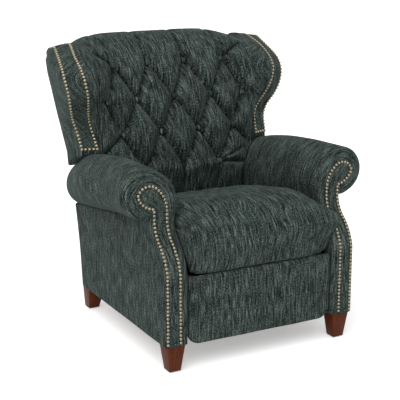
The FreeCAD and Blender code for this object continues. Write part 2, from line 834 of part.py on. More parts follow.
def back_profile(x):
    """Front of the pad seen from the side, as arc points (y, z) from the bottom to the crest.

    It bulges at the waist, leans back above it and rolls over the top. The pad is a barrel, so
    its sides lie behind the middle at the waist and before it higher up.
    """
    t = (abs(x) / back_pad_half_width) ** 2
    return (
        (back_foot_y, back_pad_bottom), (back_waist_y + 44.0 + 20.0 * t, 460.0),
        (back_waist_y + 66.0 * t, 590.0), (back_waist_y + 22.0 + 66.0 * t, 715.0),
        (back_shoulder_y - 6.0 * t, 850.0), (back_shoulder_y + 60.0 - 66.0 * t, 955.0),
        (rear_top_y - 161.6 - 30.0 * t, back_rear_top),
        (rear_top_y - 114.6 - 14.0 * t, back_crest_z - 12.0 - 10.0 * t),
        (rear_top_y - 56.6, back_crest_z - 22.0 * t),
        (rear_top_y - 20.6, back_crest_z - 7.0 - 22.0 * t),
    )


def back_section(x):
    points = [(x, y, z) for y, z in back_profile(x)]
    rear_corner = (x, rear_y(back_rear_top) - post_rear_offset, back_rear_top)
    ledge_z = back_frame_top + slip
    ledge = (x, rear_y(ledge_z) - post_rear_offset, ledge_z)
    step = (x, rear_y(ledge_z) - pad_offset, ledge_z)
    foot = (x, rear_y(back_pad_bottom) - pad_offset, back_pad_bottom)
    edges = [
        arc(points[0], points[1], points[2]), arc(points[2], points[3], points[4]),
        arc(points[4], points[5], points[6]), arc(points[6], points[7], points[8]),
        arc(points[8], points[9], rear_corner),
    ]
    ring = [rear_corner, ledge, step, foot, points[0]]
    for a, b in zip(ring, ring[1:]):
        edges.append(line(a, b))
    return Part.Wire(edges)


pad_half = back_pad_half_width
pad_shares = (-1.0, -0.823, -0.435, 0.0, 0.435, 0.823, 1.0)
back_pad = Part.makeLoft([back_section(pad_half * share) for share in pad_shares], True, False)


wing_cut_z = roll_top_z(wing_cut_y) + wing_over_roll
wing_foot_z = wing_cut_z + wing_foot_rise


def wing_line_z(y):
    """Sloping underside of the wings, just over the arms."""
    return wing_cut_z - wing_cut_slope * (y - wing_cut_y)


near_y = wing_cut_y / 2.0
far_y = 2.0 * wing_cut_y
low_corner = side_plate(
    [(near_y, 0), (far_y, 0), (far_y, wing_line_z(far_y)), (near_y, wing_line_z(near_y))],
    back_low_half_width, 2.0 * pad_half)
back_pad = back_pad.cut([low_corner, mirrored(low_corner)])

tuft_rows = (
    (985.0, (-246.0, -82.0, 82.0, 246.0), 768.0, -34.0),
    (855.0, (-tuft_reach, -164.0, 0.0, 164.0, tuft_reach), 688.0, -34.0),
    (728.0, (-246.0, -82.0, 82.0, 246.0), 634.0, 0.0),
    (590.0, (-164.0, 0.0, 164.0), 600.0, 8.0),
)
outward = Vector(0, -math.cos(math.radians(tuft_tilt)), math.sin(math.radians(tuft_tilt)))


def tuft(x, row):
    z, places, depth, side_shift = row
    return Vector(x, depth + side_shift * (x / tuft_reach) ** 2, z)


def groove(a, b):
    """V-shaped channel whose bottom runs from a to b."""
    run = b - a
    across = run.cross(outward)
    across.normalize()
    lip = outward * tuft_groove_rise
    corners = [a, a + lip + across * tuft_groove_half_width, a + lip - across * tuft_groove_half_width, a]
    return Part.Face(Part.makePolygon(corners)).extrude(run)


def dimple(place):
    return Part.makeCone(button_radius + 3.0, dimple_half_width, dimple_depth, place, outward)


button_angle = math.degrees(math.acos(button_radius / button_ball_radius))
button_sink = button_ball_radius * math.sin(math.radians(button_angle))
grooves = []
buttons = []
for row in tuft_rows:
    for x in row[1]:
        seat = tuft(x, row)
        grooves.append(dimple(seat - outward * 2 * slip))
        buttons.append(Part.makeSphere(
            button_ball_radius, seat - outward * (button_sink + slip), outward, button_angle, 90, 360))
for upper, lower in zip(tuft_rows, tuft_rows[1:]):
    for x in upper[1]:
        for other in lower[1]:
            if abs(x - other) < tuft_neighbour:
                grooves.append(groove(tuft(x, upper), tuft(other, lower)))
for x in tuft_rows[0][1]:
    start = tuft(x, tuft_rows[0])
    grooves.append(groove(start, start + Vector(x * 0.04, crest_pleat_depth, crest_pleat_rise)))
for x in tuft_rows[-1][1]:
    start = tuft(x, tuft_rows[-1])
    grooves.append(groove(start, start + Vector(0, low_pleat_depth, -low_pleat_drop)))
for x in (tuft_rows[2][1][0], tuft_rows[2][1][-1]):
    start = tuft(x, tuft_rows[2])
    grooves.append(groove(start, start + Vector(math.copysign(side_pleat_run, x), 0, -side_pleat_drop)))
back_pad = back_pad.cut(grooves)
save("back_pad", back_pad)
save("back_buttons", Part.makeCompound(buttons))


# Wings: each has a border band between two nail rows, an inner face and an outer face

wing_inner_row = (
    (357, 634, 0), (362, 659, 51), (372, 668, 96), (386, 643, 143), (400, 606, 201), (410, 598, 244),
    (415, 606, 279), (416, 640, 316), (413, 700, 350), (402, 752, 365), (391, 808, 380), (386, 870, 386))
wing_outer_row = (
    (412, 655, 0), (419, 680, 60), (434, 680, 106), (453, 652, 154), (466, 634, 202), (474, 634, 244),
    (477, 648, 276), (474, 676, 308), (466, 727, 338), (457, 770, 353), (448, 812, 364), (440, 868, 372))
wing_rear_rises = (-34, 21, 76, 126, 176, 221, 261, 301, 328, 342, 352, 360)
wing_last_rises = (376, 367, 362, 361, 382)
wing_full_rise = 372.0
wing_rear_low_x = 402.0
wing_rear_high_x = 438.0
wing_rear_low_z = wing_foot_z - 64.0
wing_stretch = (back_rear_top - wing_foot_z) / wing_full_rise


def wing_z(rise):
    return wing_foot_z + rise * wing_stretch


def rear_edge_x(z):
    share = (z - wing_rear_low_z) / (back_frame_top - wing_rear_low_z)
    return wing_rear_low_x + (wing_rear_high_x - wing_rear_low_x) * share


def pad_side_y(z):
    """Front of the pad's side face at height z."""
    wire = Part.Wire(back_section(pad_half).Edges[0:5])
    cutter = line((pad_half, near_y, z), (pad_half, far_y, z))
    return wire.distToShape(cutter)[1][0][0].y


wing_x = pad_half + slip


def wing_section(inner, outer, rear_z):
    reach = outer - inner
    reach.normalize()
    inner_edge = inner - reach * nail_to_edge
    outer_edge = outer + reach * nail_to_edge
    side_front = Vector(wing_x, pad_side_y(inner_edge.z) + wing_tuck, inner_edge.z)
    rear = rear_y(rear_z) - post_rear_offset
    rear_outer = Vector(rear_edge_x(rear_z), rear, rear_z)
    rear_inner = Vector(wing_x, rear, rear_z)
    return [inner_edge, outer_edge, rear_outer, rear_inner, side_front]


def halved(points):
    """The same smooth row with one more point between each two."""
    padded = [points[0] * 2 - points[1]] + points + [points[-1] * 2 - points[-2]]
    finer = []
    for before, a, b, after in zip(padded, padded[1:], padded[2:], padded[3:]):
        finer += [a, (a + b) * 0.5625 - (before + after) * 0.0625]
    return finer + [points[-1]]


inner_row = halved([Vector(x, y, wing_z(rise)) for x, y, rise in wing_inner_row])
outer_row = halved([Vector(x, y, wing_z(rise)) for x, y, rise in wing_outer_row])
rear_heights = [place.z for place in halved([Vector(0, 0, wing_z(rise)) for rise in wing_rear_rises])]
sections = []
for inner, outer, rear_z in zip(inner_row, outer_row, rear_heights):
    sections.append(wing_section(inner, outer, rear_z))
rear_at_zero = rear_y(0.0) - post_rear_offset
wing_low_z = (wing_cut_z - wing_cut_slope * (rear_at_zero - wing_cut_y)) / (1 + wing_cut_slope * back_slope)
wing_low_y = rear_y(wing_low_z) - post_rear_offset
first = []
for corner in sections[0]:
    on_rear = corner.y > wing_low_y
    depth = wing_low_y if on_rear else corner.y
    first.append(Vector(corner.x, depth, wing_line_z(depth)))
sections.insert(0, first)
last_y = rear_y(rear_heights[-1]) - post_rear_offset
last = []
for corner, rise in zip(sections[-1], wing_last_rises):
    last.append(Vector(corner.x, last_y, wing_z(rise)))
sections.append(last)
wing_wires = [Part.makePolygon(corners + corners[:1]) for corners in sections]
wing = Part.makeLoft(wing_wires, True, True)
save_sides("wing", wing)


def band_normal(across, run):
    normal = across.cross(run)
    normal.normalize()
    return normal * -1 if normal.y > 0 else normal


wing_nails = []
for points, partner in ((inner_row, outer_row), (outer_row, inner_row)):
    ahead = points[1:] + points[-1:]
    behind = points[:1] + points[:-1]
    headings = [after - before for after, before in zip(ahead, behind)]
    distance = 0.0
    for number in range(len(points) - 1):
        a, b = points[number], points[number + 1]
        run = b - a
        while distance < run.Length:
            share = distance / run.Length
            place = a + run * share
            across = partner[number] * (1 - share) + partner[number + 1] * share - place
            heading = headings[number] * (1 - share) + headings[number + 1] * share
            wing_nails.append(nail(place, band_normal(across, heading), wing_nail_seat))
            distance += nail_pitch
        distance -= run.Length
low_run = outer_row[0] - inner_row[0]
low_count = int(round(low_run.Length / nail_pitch))
for number in range(1, low_count):
    place = inner_row[0] + low_run * (number / float(low_count))
    wing_nails.append(nail(place, band_normal(low_run, inner_row[1] - inner_row[0]), wing_nail_seat))
wing_nails += [mirrored(head) for head in wing_nails]
save("wing_nails", Part.makeCompound(wing_nails))


# Outside back: one covered panel, wide above the arms and narrow between them

sheet_low = back_sheet_bottom + 7.0
sheet_top = back_rear_top - 6.0
back_sheet = leaning(outside_back_thickness, 0, sheet_low, sheet_top, 2.0 * pad_half)
step_z = wing_foot_z - 84.0
widening_z = wing_foot_z - 60.0
low_x = rear_edge_x(widening_z)
high_x = rear_edge_x(back_frame_top)
half_outline = [
    (back_low_half_width, back_sheet_bottom), (back_low_half_width, step_z), (low_x, widening_z),
    (high_x, back_frame_top), (high_x - 20.0, back_rear_top)]
outline = half_outline + [(-x, z) for x, z in reversed(half_outline)]
corners = [Vector(x, 0, z) for x, z in outline]
window = Part.Face(Part.makePolygon(corners + corners[:1])).extrude(Vector(0, far_y, 0))
save("outside_back", back_sheet.common(window))
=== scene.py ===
import math

import bmesh
import bpy
import numpy as np
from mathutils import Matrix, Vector


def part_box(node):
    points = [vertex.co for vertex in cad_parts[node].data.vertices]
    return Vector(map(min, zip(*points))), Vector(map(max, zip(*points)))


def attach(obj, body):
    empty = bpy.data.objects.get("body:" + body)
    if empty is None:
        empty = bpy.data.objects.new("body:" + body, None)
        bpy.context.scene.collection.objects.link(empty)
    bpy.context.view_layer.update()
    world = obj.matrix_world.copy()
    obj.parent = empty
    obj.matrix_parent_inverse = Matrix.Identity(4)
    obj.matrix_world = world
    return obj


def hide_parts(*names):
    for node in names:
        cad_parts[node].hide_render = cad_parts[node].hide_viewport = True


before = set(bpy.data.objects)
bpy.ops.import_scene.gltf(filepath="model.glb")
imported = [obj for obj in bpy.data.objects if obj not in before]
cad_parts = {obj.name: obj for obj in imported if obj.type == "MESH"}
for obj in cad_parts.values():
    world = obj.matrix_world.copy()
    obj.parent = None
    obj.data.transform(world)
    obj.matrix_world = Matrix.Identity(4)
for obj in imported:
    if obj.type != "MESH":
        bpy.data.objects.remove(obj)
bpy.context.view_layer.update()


# Studio: a white floor that keeps the chair's soft shadow, an even pale world and one broad
# sun from the front left. The camera stands where the photograph's camera stood.
camera_place = Vector((-1.9435, -3.6096, 1.5595))
camera_aim = Vector((0.0, 0.0, 0.4764))
focal_pixels = 1082.0
photo_pixels = 400.0
sensor_mm = 36.0
world_strength = 0.62
sun_strength = 1.75
sun_spread = math.radians(50.0)
sun_side = Vector((-0.75, -0.75, 1.25))
floor_half = 40
floor_glow = 0.36
white = (1.0, 1.0, 1.0, 1.0)


def fill_inputs(tree, node, inputs):
    """Links each input that is given as another node's output, and sets the others."""
    for name, value in inputs.items():
        if isinstance(value, bpy.types.NodeSocket):
            tree.links.new(value, node.inputs[name])
        else:
            node.inputs[name].default_value = value


def add_node(tree, kind, inputs=None, operation=None):
    """New node with its inputs, by name or by number."""
    node = tree.nodes.new(kind)
    if operation is not None:
        node.operation = operation
    fill_inputs(tree, node, inputs or {})
    return node


def new_material(name):
    material = bpy.data.materials.new(name)
    material.use_nodes = True
    return material, material.node_tree, material.node_tree.nodes["Principled BSDF"]


scene = bpy.context.scene
scene.view_settings.view_transform = "Standard"

camera_data = bpy.data.cameras.new("camera")
camera_data.sensor_width = sensor_mm
camera_data.sensor_fit = "HORIZONTAL"
camera_data.lens = focal_pixels / photo_pixels * sensor_mm
camera = bpy.data.objects.new("camera", camera_data)
camera.location = camera_place
camera.rotation_euler = (camera_aim - camera_place).to_track_quat("-Z", "Y").to_euler()
scene.collection.objects.link(camera)
scene.camera = camera

world = bpy.data.worlds.new("studio")
scene.world = world
world.use_nodes = True
sky = world.node_tree
sky.nodes.clear()
ray = add_node(sky, "ShaderNodeLightPath").outputs
seen = add_node(sky, "ShaderNodeMath", {0: ray["Is Camera Ray"], 1: ray["Is Glossy Ray"]}, "MAXIMUM")
pale_light = add_node(sky, "ShaderNodeBackground", {"Color": white, "Strength": world_strength})
backdrop = add_node(sky, "ShaderNodeBackground", {"Color": white, "Strength": 1.0})
pick = add_node(sky, "ShaderNodeMixShader", {
    "Fac": seen.outputs["Value"], 1: pale_light.outputs["Background"], 2: backdrop.outputs["Background"]})
add_node(sky, "ShaderNodeOutputWorld", {"Surface": pick.outputs["Shader"]})

sun_data = bpy.data.lights.new("sun", "SUN")
sun_data.energy = sun_strength
sun_data.angle = sun_spread
sun = bpy.data.objects.new("sun", sun_data)
sun.rotation_euler = sun_side.to_track_quat("Z", "Y").to_euler()
scene.collection.objects.link(sun)

floor_mesh = bpy.data.meshes.new("floor")
floor_corners = [(x * floor_half, y * floor_half, 0) for x, y in ((-1, -1), (1, -1), (1, 1), (-1, 1))]
floor_mesh.from_pydata(floor_corners, [], [(0, 1, 2, 3)])
floor = bpy.data.objects.new("floor", floor_mesh)
scene.collection.objects.link(floor)
floor_paint, paint_tree, paint_shader = new_material("white_floor")
floor_ray = add_node(paint_tree, "ShaderNodeLightPath").outputs["Is Camera Ray"]
glow = add_node(paint_tree, "ShaderNodeMath", {0: floor_ray, 1: floor_glow}, "MULTIPLY")
fill_inputs(paint_tree, paint_shader, {
    "Base Color": (0.97, 0.97, 0.97, 1.0), "Roughness": 0.9, "Specular IOR Level": 0.0,
    "Emission Color": white, "Emission Strength": glow.outputs["Value"]})
floor.data.materials.append(floor_paint)


# Legs: four tapered feet cut from square stock, stained reddish brown and lacquered. Each edge
# is eased by hand sanding, and each stands on a black nylon glide that keeps its CAD shape.
leg_edge = 0.0025
leg_segments = 3
sharp_angle = math.radians(35.0)
stain_dark = (0.050, 0.011, 0.003, 1.0)
stain_light = (0.125, 0.027, 0.007, 1.0)
grain_scale = (34.0, 34.0, 3.2)
nylon_dark = (0.012, 0.012, 0.013, 1.0)
nylon_light = (0.030, 0.030, 0.032, 1.0)


def ramp_colours(tree, factor, stops):
    """Colour ramp over the given (position, colour) stops, fed by factor."""
    ramp = add_node(tree, "ShaderNodeValToRGB", {"Fac": factor})
    elements = ramp.color_ramp.elements
    while len(elements) < len(stops):
        elements.new(0.5)
    for element, (position, colour) in zip(elements, stops):
        element.position = position
        element.color = colour
    return ramp.outputs["Color"]


def noise_at(tree, place, scale, detail, roughness, distortion=0.0):
    return add_node(tree, "ShaderNodeTexNoise", {
        "Vector": place, "Scale": scale, "Detail": detail, "Roughness": roughness,
        "Distortion": distortion}).outputs["Fac"]


def object_place(tree):
    return add_node(tree, "ShaderNodeTexCoord").outputs["Object"]


def bumped(tree, height, strength, distance):
    return add_node(tree, "ShaderNodeBump", {
        "Height": height, "Strength": strength, "Distance": distance}).outputs["Normal"]


def grained_wood(name, dark, light, roughness, gloss):
    """Timber with long grain along Z and a few darker pores."""
    wood, tree, shader = new_material(name)
    place = add_node(tree, "ShaderNodeMapping", {
        "Vector": object_place(tree), "Scale": grain_scale}).outputs["Vector"]
    grain = noise_at(tree, place, 3.0, 6.0, 0.65, 0.6)
    pores = noise_at(tree, place, 14.0, 3.0, 0.7)
    blend = add_node(tree, "ShaderNodeMath", {0: pores, 1: 0.35, 2: grain}, "MULTIPLY_ADD")
    fill_inputs(tree, shader, {
        "Base Color": ramp_colours(tree, blend.outputs["Value"], [(0.48, dark), (0.82, light)]),
        "Normal": bumped(tree, pores, 0.12, 0.0006), "Roughness": roughness, "Specular IOR Level": gloss})
    return wood


def dress(material, *node_names):
    """Gives CAD pieces their finish."""
    for node_name in node_names:
        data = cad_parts[node_name].data
        data.materials.clear()
        data.materials.append(material)


def add_piece(name, mesh, material):
    """Object at the origin for a finished mesh, with its material."""
    piece = bpy.data.objects.new(name, mesh)
    scene.collection.objects.link(piece)
    piece.data.materials.clear()
    piece.data.materials.append(material)
    return piece


def bake_modifiers(piece):
    """Replaces the piece's mesh by what its modifiers make of it."""
    view = bpy.context.evaluated_depsgraph_get()
    view.update()
    result = bpy.data.meshes.new_from_object(piece.evaluated_get(view))
    piece.modifiers.clear()
    piece.data = result
    return piece


def read_points(mesh):
    """The mesh's vertices as rows of x, y and z."""
    points = np.zeros(len(mesh.vertices) * 3)
    mesh.vertices.foreach_get("co", points)
    return points.reshape(-1, 3)


def settle(piece, body, replaced):
    """Puts a finished piece on its body, in place of its CAD nodes and its fill."""
    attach(piece, body)
    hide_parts(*replaced)


leg_wood = grained_wood("stained_leg_wood", stain_dark, stain_light, 0.40, 0.14)
for leg_name in ("front_leg_left", "front_leg_right", "rear_leg_left", "rear_leg_right"):
    points = read_points(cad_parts[leg_name].data)
    corners = []
    for level in (points[:, 2].min(), points[:, 2].max()):
        ring = points[np.abs(points[:, 2] - level) < 0.0005]
        low, high = ring.min(axis=0), ring.max(axis=0)
        corners += [(low[0], low[1], level), (high[0], low[1], level),
                    (high[0], high[1], level), (low[0], high[1], level)]
    leg_mesh = bpy.data.meshes.new(leg_name + "_turned")
    leg_mesh.from_pydata(corners, [], [
        (3, 2, 1, 0), (4, 5, 6, 7), (0, 1, 5, 4), (1, 2, 6, 5), (2, 3, 7, 6), (3, 0, 4, 7)])
    leg = add_piece(leg_name + "_turned", leg_mesh, leg_wood)
    sanding = leg.modifiers.new("eased edges", "BEVEL")
    sanding.width = leg_edge
    sanding.segments = leg_segments
    bake_modifiers(leg)
    leg.data.shade_smooth()
    leg.data.set_sharp_from_angle(angle=sharp_angle)
    settle(leg, "base", [leg_name])

nylon, nylon_tree, nylon_shader = new_material("black_nylon")
nylon_spots = noise_at(nylon_tree, object_place(nylon_tree), 220.0, 2.0, 0.5)
fill_inputs(nylon_tree, nylon_shader, {
    "Roughness": 0.55,
    "Base Color": ramp_colours(nylon_tree, nylon_spots, [(0.3, nylon_dark), (0.7, nylon_light)])})
dress(nylon, "leg_glides")


# Frame: kiln-dried hardwood boards and plywood, glued and screwed, never varnished because the
# covers hide most of them. They keep their CAD shapes.
board_dark = (0.30, 0.19, 0.10, 1.0)
board_light = (0.56, 0.40, 0.24, 1.0)
raw_wood = grained_wood("raw_hardwood", board_dark, board_light, 0.75, 0.2)
dress(raw_wood, "arm_front_post_left", "arm_front_post_right", "arm_rails_left", "arm_rails_right",
      "base_front_rail", "base_rear_rail", "seat_rail_left", "seat_rail_right", "seat_rear_rail",
      "back_cross_rails")


# Mechanism: pressed steel links, plates and the torque tube, phosphated dark, turning on bright
# pins, with oil-tempered sinuous springs. They keep their CAD shapes.
def mottled_metal(name, dark, light, roughness, scale=60.0, detail=5.0, stops=(0.35, 0.7), metallic=1.0):
    """Metal whose colour and roughness, from low to high, vary together."""
    metal, tree, shader = new_material(name)
    clouds = noise_at(tree, object_place(tree), scale, detail, 0.6)
    rough = add_node(tree, "ShaderNodeMapRange", {
        "Value": clouds, "To Min": roughness[0], "To Max": roughness[1]})
    fill_inputs(tree, shader, {
        "Metallic": metallic, "Roughness": rough.outputs["Result"],
        "Base Color": ramp_colours(tree, clouds, list(zip(stops, (dark, light))))})
    return metal


dress(mottled_metal("phosphated_steel", (0.10, 0.10, 0.105, 1.0), (0.22, 0.22, 0.23, 1.0), (0.34, 0.54)),
      "base_brackets", "front_swing_links", "rear_swing_links", "seat_plates", "torque_tube",
      "drive_links", "extension_links", "footrest_brackets", "back_brackets")
dress(mottled_metal("bright_steel", (0.45, 0.45, 0.46, 1.0), (0.66, 0.66, 0.67, 1.0), (0.20, 0.40)),
      "leg_bolts", "swing_upper_pins", "swing_lower_pins", "knee_pins", "footrest_pins", "back_hinge_pins")
dress(mottled_metal("tempered_wire", (0.05, 0.05, 0.06, 1.0), (0.14, 0.14, 0.15, 1.0), (0.28, 0.48)),
      "seat_springs", "back_springs")


# Chenille: every cover is cut from one slate-green cloth whose warp yarns are short broken
# flecks of dark, sage and teal. It is woven in the piece's own "weave" map, laid out in metres,
# with the warp along the map's second direction.
yarn_dark = (0.0045, 0.0068, 0.0068, 1.0)
yarn_slate = (0.0200, 0.0270, 0.0255, 1.0)
yarn_sage = (0.0620, 0.0800, 0.0730, 1.0)
yarn_pale = (0.1700, 0.2080, 0.1900, 1.0)
tint_teal = (0.72, 1.00, 1.05, 1.0)
tint_olive = (1.14, 1.01, 0.88, 1.0)
sheen_tint = (0.62, 0.80, 0.76, 1.0)
fleck_scale = (340.0, 150.0, 1.0)
slub_scale = (250.0, 230.0, 1.0)
thread_scale = (300.0, 17.0, 1.0)
twist_scale = (800.0, 420.0, 1.0)
streak_scale = (150.0, 16.0, 1.0)
patch_scale = (9.0, 5.0, 1.0)
tint_scale = (230.0, 60.0, 1.0)


def weighted(tree, terms):
    """Sum of (output, weight) terms."""
    total = 0.0
    for output, weight in terms:
        step = add_node(tree, "ShaderNodeMath", {0: output, 1: weight, 2: total}, "MULTIPLY_ADD")
        total = step.outputs["Value"]
    return total


def chenille(name, reads_map=True):
    """The cover cloth. Small pieces without a map read their object coordinates instead."""
    cloth, tree, shader = new_material(name)
    if reads_map:
        weave = add_node(tree, "ShaderNodeUVMap")
        weave.uv_map = "weave"
        place = weave.outputs["UV"]
    else:
        place = object_place(tree)

    def yarns(scale, detail):
        spread = add_node(tree, "ShaderNodeMapping", {"Vector": place, "Scale": scale})
        return noise_at(tree, spread.outputs["Vector"], 1.0, detail, 0.6)

    flecks = yarns(fleck_scale, 1.5)
    threads = yarns(thread_scale, 1.0)
    twist = yarns(twist_scale, 2.0)
    shade = weighted(tree, [
        (flecks, 0.23), (yarns(slub_scale, 1.0), 0.19), (threads, 0.15), (twist, 0.10),
        (yarns(streak_scale, 2.0), 0.26), (yarns(patch_scale, 2.0), 0.07)])
    yarn = ramp_colours(tree, shade, [
        (0.435, yarn_dark), (0.48, yarn_slate), (0.532, yarn_sage), (0.60, yarn_pale)])
    tint = ramp_colours(tree, yarns(tint_scale, 2.0), [(0.36, tint_olive), (0.50, white), (0.64, tint_teal)])
    dyed = add_node(tree, "ShaderNodeMix")
    dyed.data_type = "RGBA"
    dyed.blend_type = "MULTIPLY"
    fill_inputs(tree, dyed, {"Factor": 1.0, "A": yarn, "B": tint})
    relief = weighted(tree, [(flecks, 0.6), (threads, 0.4), (twist, 0.4)])
    fill_inputs(tree, shader, {
        "Base Color": dyed.outputs["Result"], "Normal": bumped(tree, relief, 0.28, 0.0012),
        "Roughness": 0.92, "Specular IOR Level": 0.06, "Sheen Weight": 0.06,
        "Sheen Roughness": 0.45, "Sheen Tint": sheen_tint})
    return cloth


cover_cloth = chenille("slate_chenille")


# Arm covers: each arm's fabric runs up the inner face, over the roll and round to the seam
# under it, over fibre on foam. At the front it is pulled round to the nail line of the facing.
sides = ((1, "left"), (-1, "right"))
feet_plane = -0.4635
frame_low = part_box("arm_facing_left")[0][2]
arm_in = 0.302
arm_out = 0.392
neck_z = 0.545
facing_front = feet_plane - 0.016
facing_top = feet_plane + 0.084
seam_front_z = 0.553
seam_fall = 0.142
arm_rear_low = feet_plane + 0.746
arm_rear_lean = 0.11
roll_front = feet_plane + 0.0945
inner_count = 24
roll_count = 64
roll_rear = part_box("arm_roll_left")[1][1]
roll_top_x = 0.381
roll_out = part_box("arm_roll_left")[1][0] + 0.003
head_swell = 0.021
head_lift = 0.008
roll_rise = 0.010
roll_height = 0.172
roll_arch = 0.036
roll_belly = 0.093
rear_narrowing = 0.052
panel_flare = 0.009
roll_in = 0.290
nail_in = 0.334
nail_out = 0.383
cover_thick = 0.004
wrap_steps = 9
wrap_bulge = 0.0045
body_rows = 74
post_cover = 0.050
post_cover_z = 0.338
rear_margin = 0.010
turn_steps = 5
inner_turn = 0.008
roll_turn = 0.022
closing_shares = (0.25, 0.5, 0.75, 0.98)
roll_core_z = 0.085
arm_swell = 0.0012
arm_swell_size = 0.16


def unit(vectors):
    return vectors / np.maximum(np.linalg.norm(vectors, axis=-1, keepdims=True), 1e-9)


def arc_points(a, b, c, count):
    """Points of the circle arc from a over b to c in a plane, both ends included."""
    a, b, c = (np.array(p, float) for p in (a, b, c))
    ab, ac = b - a, c - a
    cross = 2.0 * (ab[0] * ac[1] - ab[1] * ac[0])
    offset = np.array([
        ac[1] * ab.dot(ab) - ab[1] * ac.dot(ac), ab[0] * ac.dot(ac) - ac[0] * ab.dot(ab)]) / cross
    centre = a + offset
    angles = [math.atan2(*(p - centre)[::-1]) for p in (a, b, c)]
    turn = (angles[2] - angles[0]) % (2 * math.pi)
    if (angles[1] - angles[0]) % (2 * math.pi) > turn:
        turn -= 2 * math.pi
    sweep = angles[0] + turn * np.linspace(0.0, 1.0, count)
    radius = np.linalg.norm(offset)
    return centre + radius * np.stack([np.cos(sweep), np.sin(sweep)], axis=1)


def arc_chain(stops, counts):
    """Arcs joined end to end. Every other stop is an arc's end, and those between are passed over."""
    arcs = [arc_points(*stops[2 * number:2 * number + 3], count) for number, count in enumerate(counts)]
    return np.concatenate(arcs[:1] + [arc[1:] for arc in arcs[1:]])


def resampled(points, count):
    """The same line with evenly spaced points."""
    points = np.asarray(points, float)
    steps = np.linalg.norm(np.diff(points, axis=0), axis=1)
    along = np.concatenate([[0.0], np.cumsum(steps)])
    wanted = np.linspace(0.0, along[-1], count)
    return np.stack([np.interp(wanted, along, values) for values in points.T], axis=1)


def smoothed(points, rounds):
    """Line eased at its corners, with its ends kept."""
    points = np.array(points, float)
    for _ in range(rounds):
        points[1:-1] += 0.5 * ((points[:-2] + points[2:]) / 2.0 - points[1:-1])
    return points


def ease(share):
    share = np.clip(share, 0.0, 1.0)
    return share * share * (3.0 - 2.0 * share)


def ripple(places, size, seed, waves=9):
    """Smooth unevenness between about -1 and 1, with swells of the given size in metres."""
    draw = np.random.default_rng(seed)
    total = np.zeros(places.shape[:-1])
    for _ in range(waves):
        heading = unit(draw.normal(size=3))
        length = size * draw.uniform(0.7, 1.6)
        total += np.sin(2 * math.pi * (places @ heading) / length + draw.uniform(0, 2 * math.pi))
    return total / math.sqrt(waves) / 1.4


def uneven(places, *swells):
    """Sum of ripples, each given as its height, its size and its seed."""
    return sum(amount * ripple(places, size, seed) for amount, size, seed in swells)


def cloth_mesh(name, grid, warp="columns", ring=False, ends=(False, False), laid=None, origin=0):
    """Mesh over a grid of points with the "weave" map in metres.

    The warp runs along the columns (down each column) or along the rows, and the weft is counted
    from the origin column. A ring grid is closed round its columns, and an end that is asked for
    is closed by one face. The map is measured on the laid grid where the cloth was cut flatter.
    """
    laid = grid if laid is None else laid
    points = grid.reshape(-1, 3)
    rows, columns = grid.shape[:2]
    row, column = (part.ravel() for part in np.mgrid[:rows - 1, :columns if ring else columns - 1])
    here, beside = row * columns + column, row * columns + (column + 1) % columns
    faces = np.stack([here, beside, beside + columns, here + columns], axis=1).tolist()
    caps = []
    if ends[0]:
        caps.append(list(range(columns))[::-1])
    if ends[1]:
        caps.append(list(range(len(points) - columns, len(points))))
    mesh = bpy.data.meshes.new(name)
    mesh.from_pydata(points.tolist(), [], faces + caps)
    wrapped = np.concatenate([laid, laid[:, :1]], axis=1)
    across = np.cumsum(np.linalg.norm(np.diff(wrapped, axis=1), axis=2), axis=1)
    across = np.concatenate([np.zeros((rows, 1)), across], axis=1)
    across -= across[:, origin][:, None]
    down = np.cumsum(np.linalg.norm(np.diff(wrapped, axis=0), axis=2), axis=0)
    down = np.concatenate([np.zeros((1, columns + 1)), down], axis=0)
    spots = ((row, column), (row, column + 1), (row + 1, column + 1), (row + 1, column))
    places = np.stack([np.stack([across[spot], down[spot]], axis=1) for spot in spots], axis=1)
    if warp == "rows":
        places = places[..., ::-1]
    places = places.ravel().tolist()
    for cap in caps:
        places += points[cap, :2].ravel().tolist()
    mesh.uv_layers.new(name="weave").data.foreach_set("uv", places)
    mesh.validate()
    return mesh


def outward(mesh):
    """Turns the faces of a closed mesh outwards."""
    shape = bmesh.new()
    shape.from_mesh(mesh)
    bmesh.ops.recalc_face_normals(shape, faces=shape.faces)
    if shape.calc_volume(signed=True) < 0:
        bmesh.ops.reverse_faces(shape, faces=shape.faces)
    shape.to_mesh(mesh)
    shape.free()
    return mesh


def mirror_grid(grid):
    """The same piece on the sitter's right."""
    flipped = grid[:, ::-1].copy()
    flipped[..., 0] *= -1.0
    return flipped


def add_cover(name, grid, warp, thick, body, replaced):
    """One closed layer of padded cloth over a grid."""
    piece = add_piece(name, cloth_mesh(name, grid, warp), cover_cloth)
    wall = piece.modifiers.new("padding", "SOLIDIFY")
    wall.thickness = thick
    wall.offset = -1.0
    bake_modifiers(piece)
    outward(piece.data)
    piece.data.shade_smooth()
    settle(piece, body, replaced)


def add_arm_covers(name, grid, warp, thick, *replaced, fill=None):
    """The same cover on both arms. The grid and the names are those of the left one."""
    for side, word in sides:
        add_cover(name + word, grid if side > 0 else mirror_grid(grid), warp, thick, "base",
                  [node_name + word for node_name in replaced])


def add_closed(name, grid, material=cover_cloth, **laid):
    """A closed piece over a ring grid, its faces outwards."""
    piece = add_piece(name, cloth_mesh(name, grid, ring=True, ends=(True, True), **laid), material)
    outward(piece.data)
    piece.data.shade_smooth()
    return piece


facing_line = np.concatenate([
    [(facing_front, frame_low)],
    arc_chain([(facing_front, neck_z - 0.184), (feet_plane + 0.009, neck_z - 0.123),
               (feet_plane + 0.048, neck_z - 0.080), (feet_plane + 0.074, neck_z - 0.045),
               (facing_top, neck_z)], (16, 16)),
    [(facing_top, 1.0)]])


def facing_y(z):
    return np.interp(z, facing_line[:, 1], facing_line[:, 0])


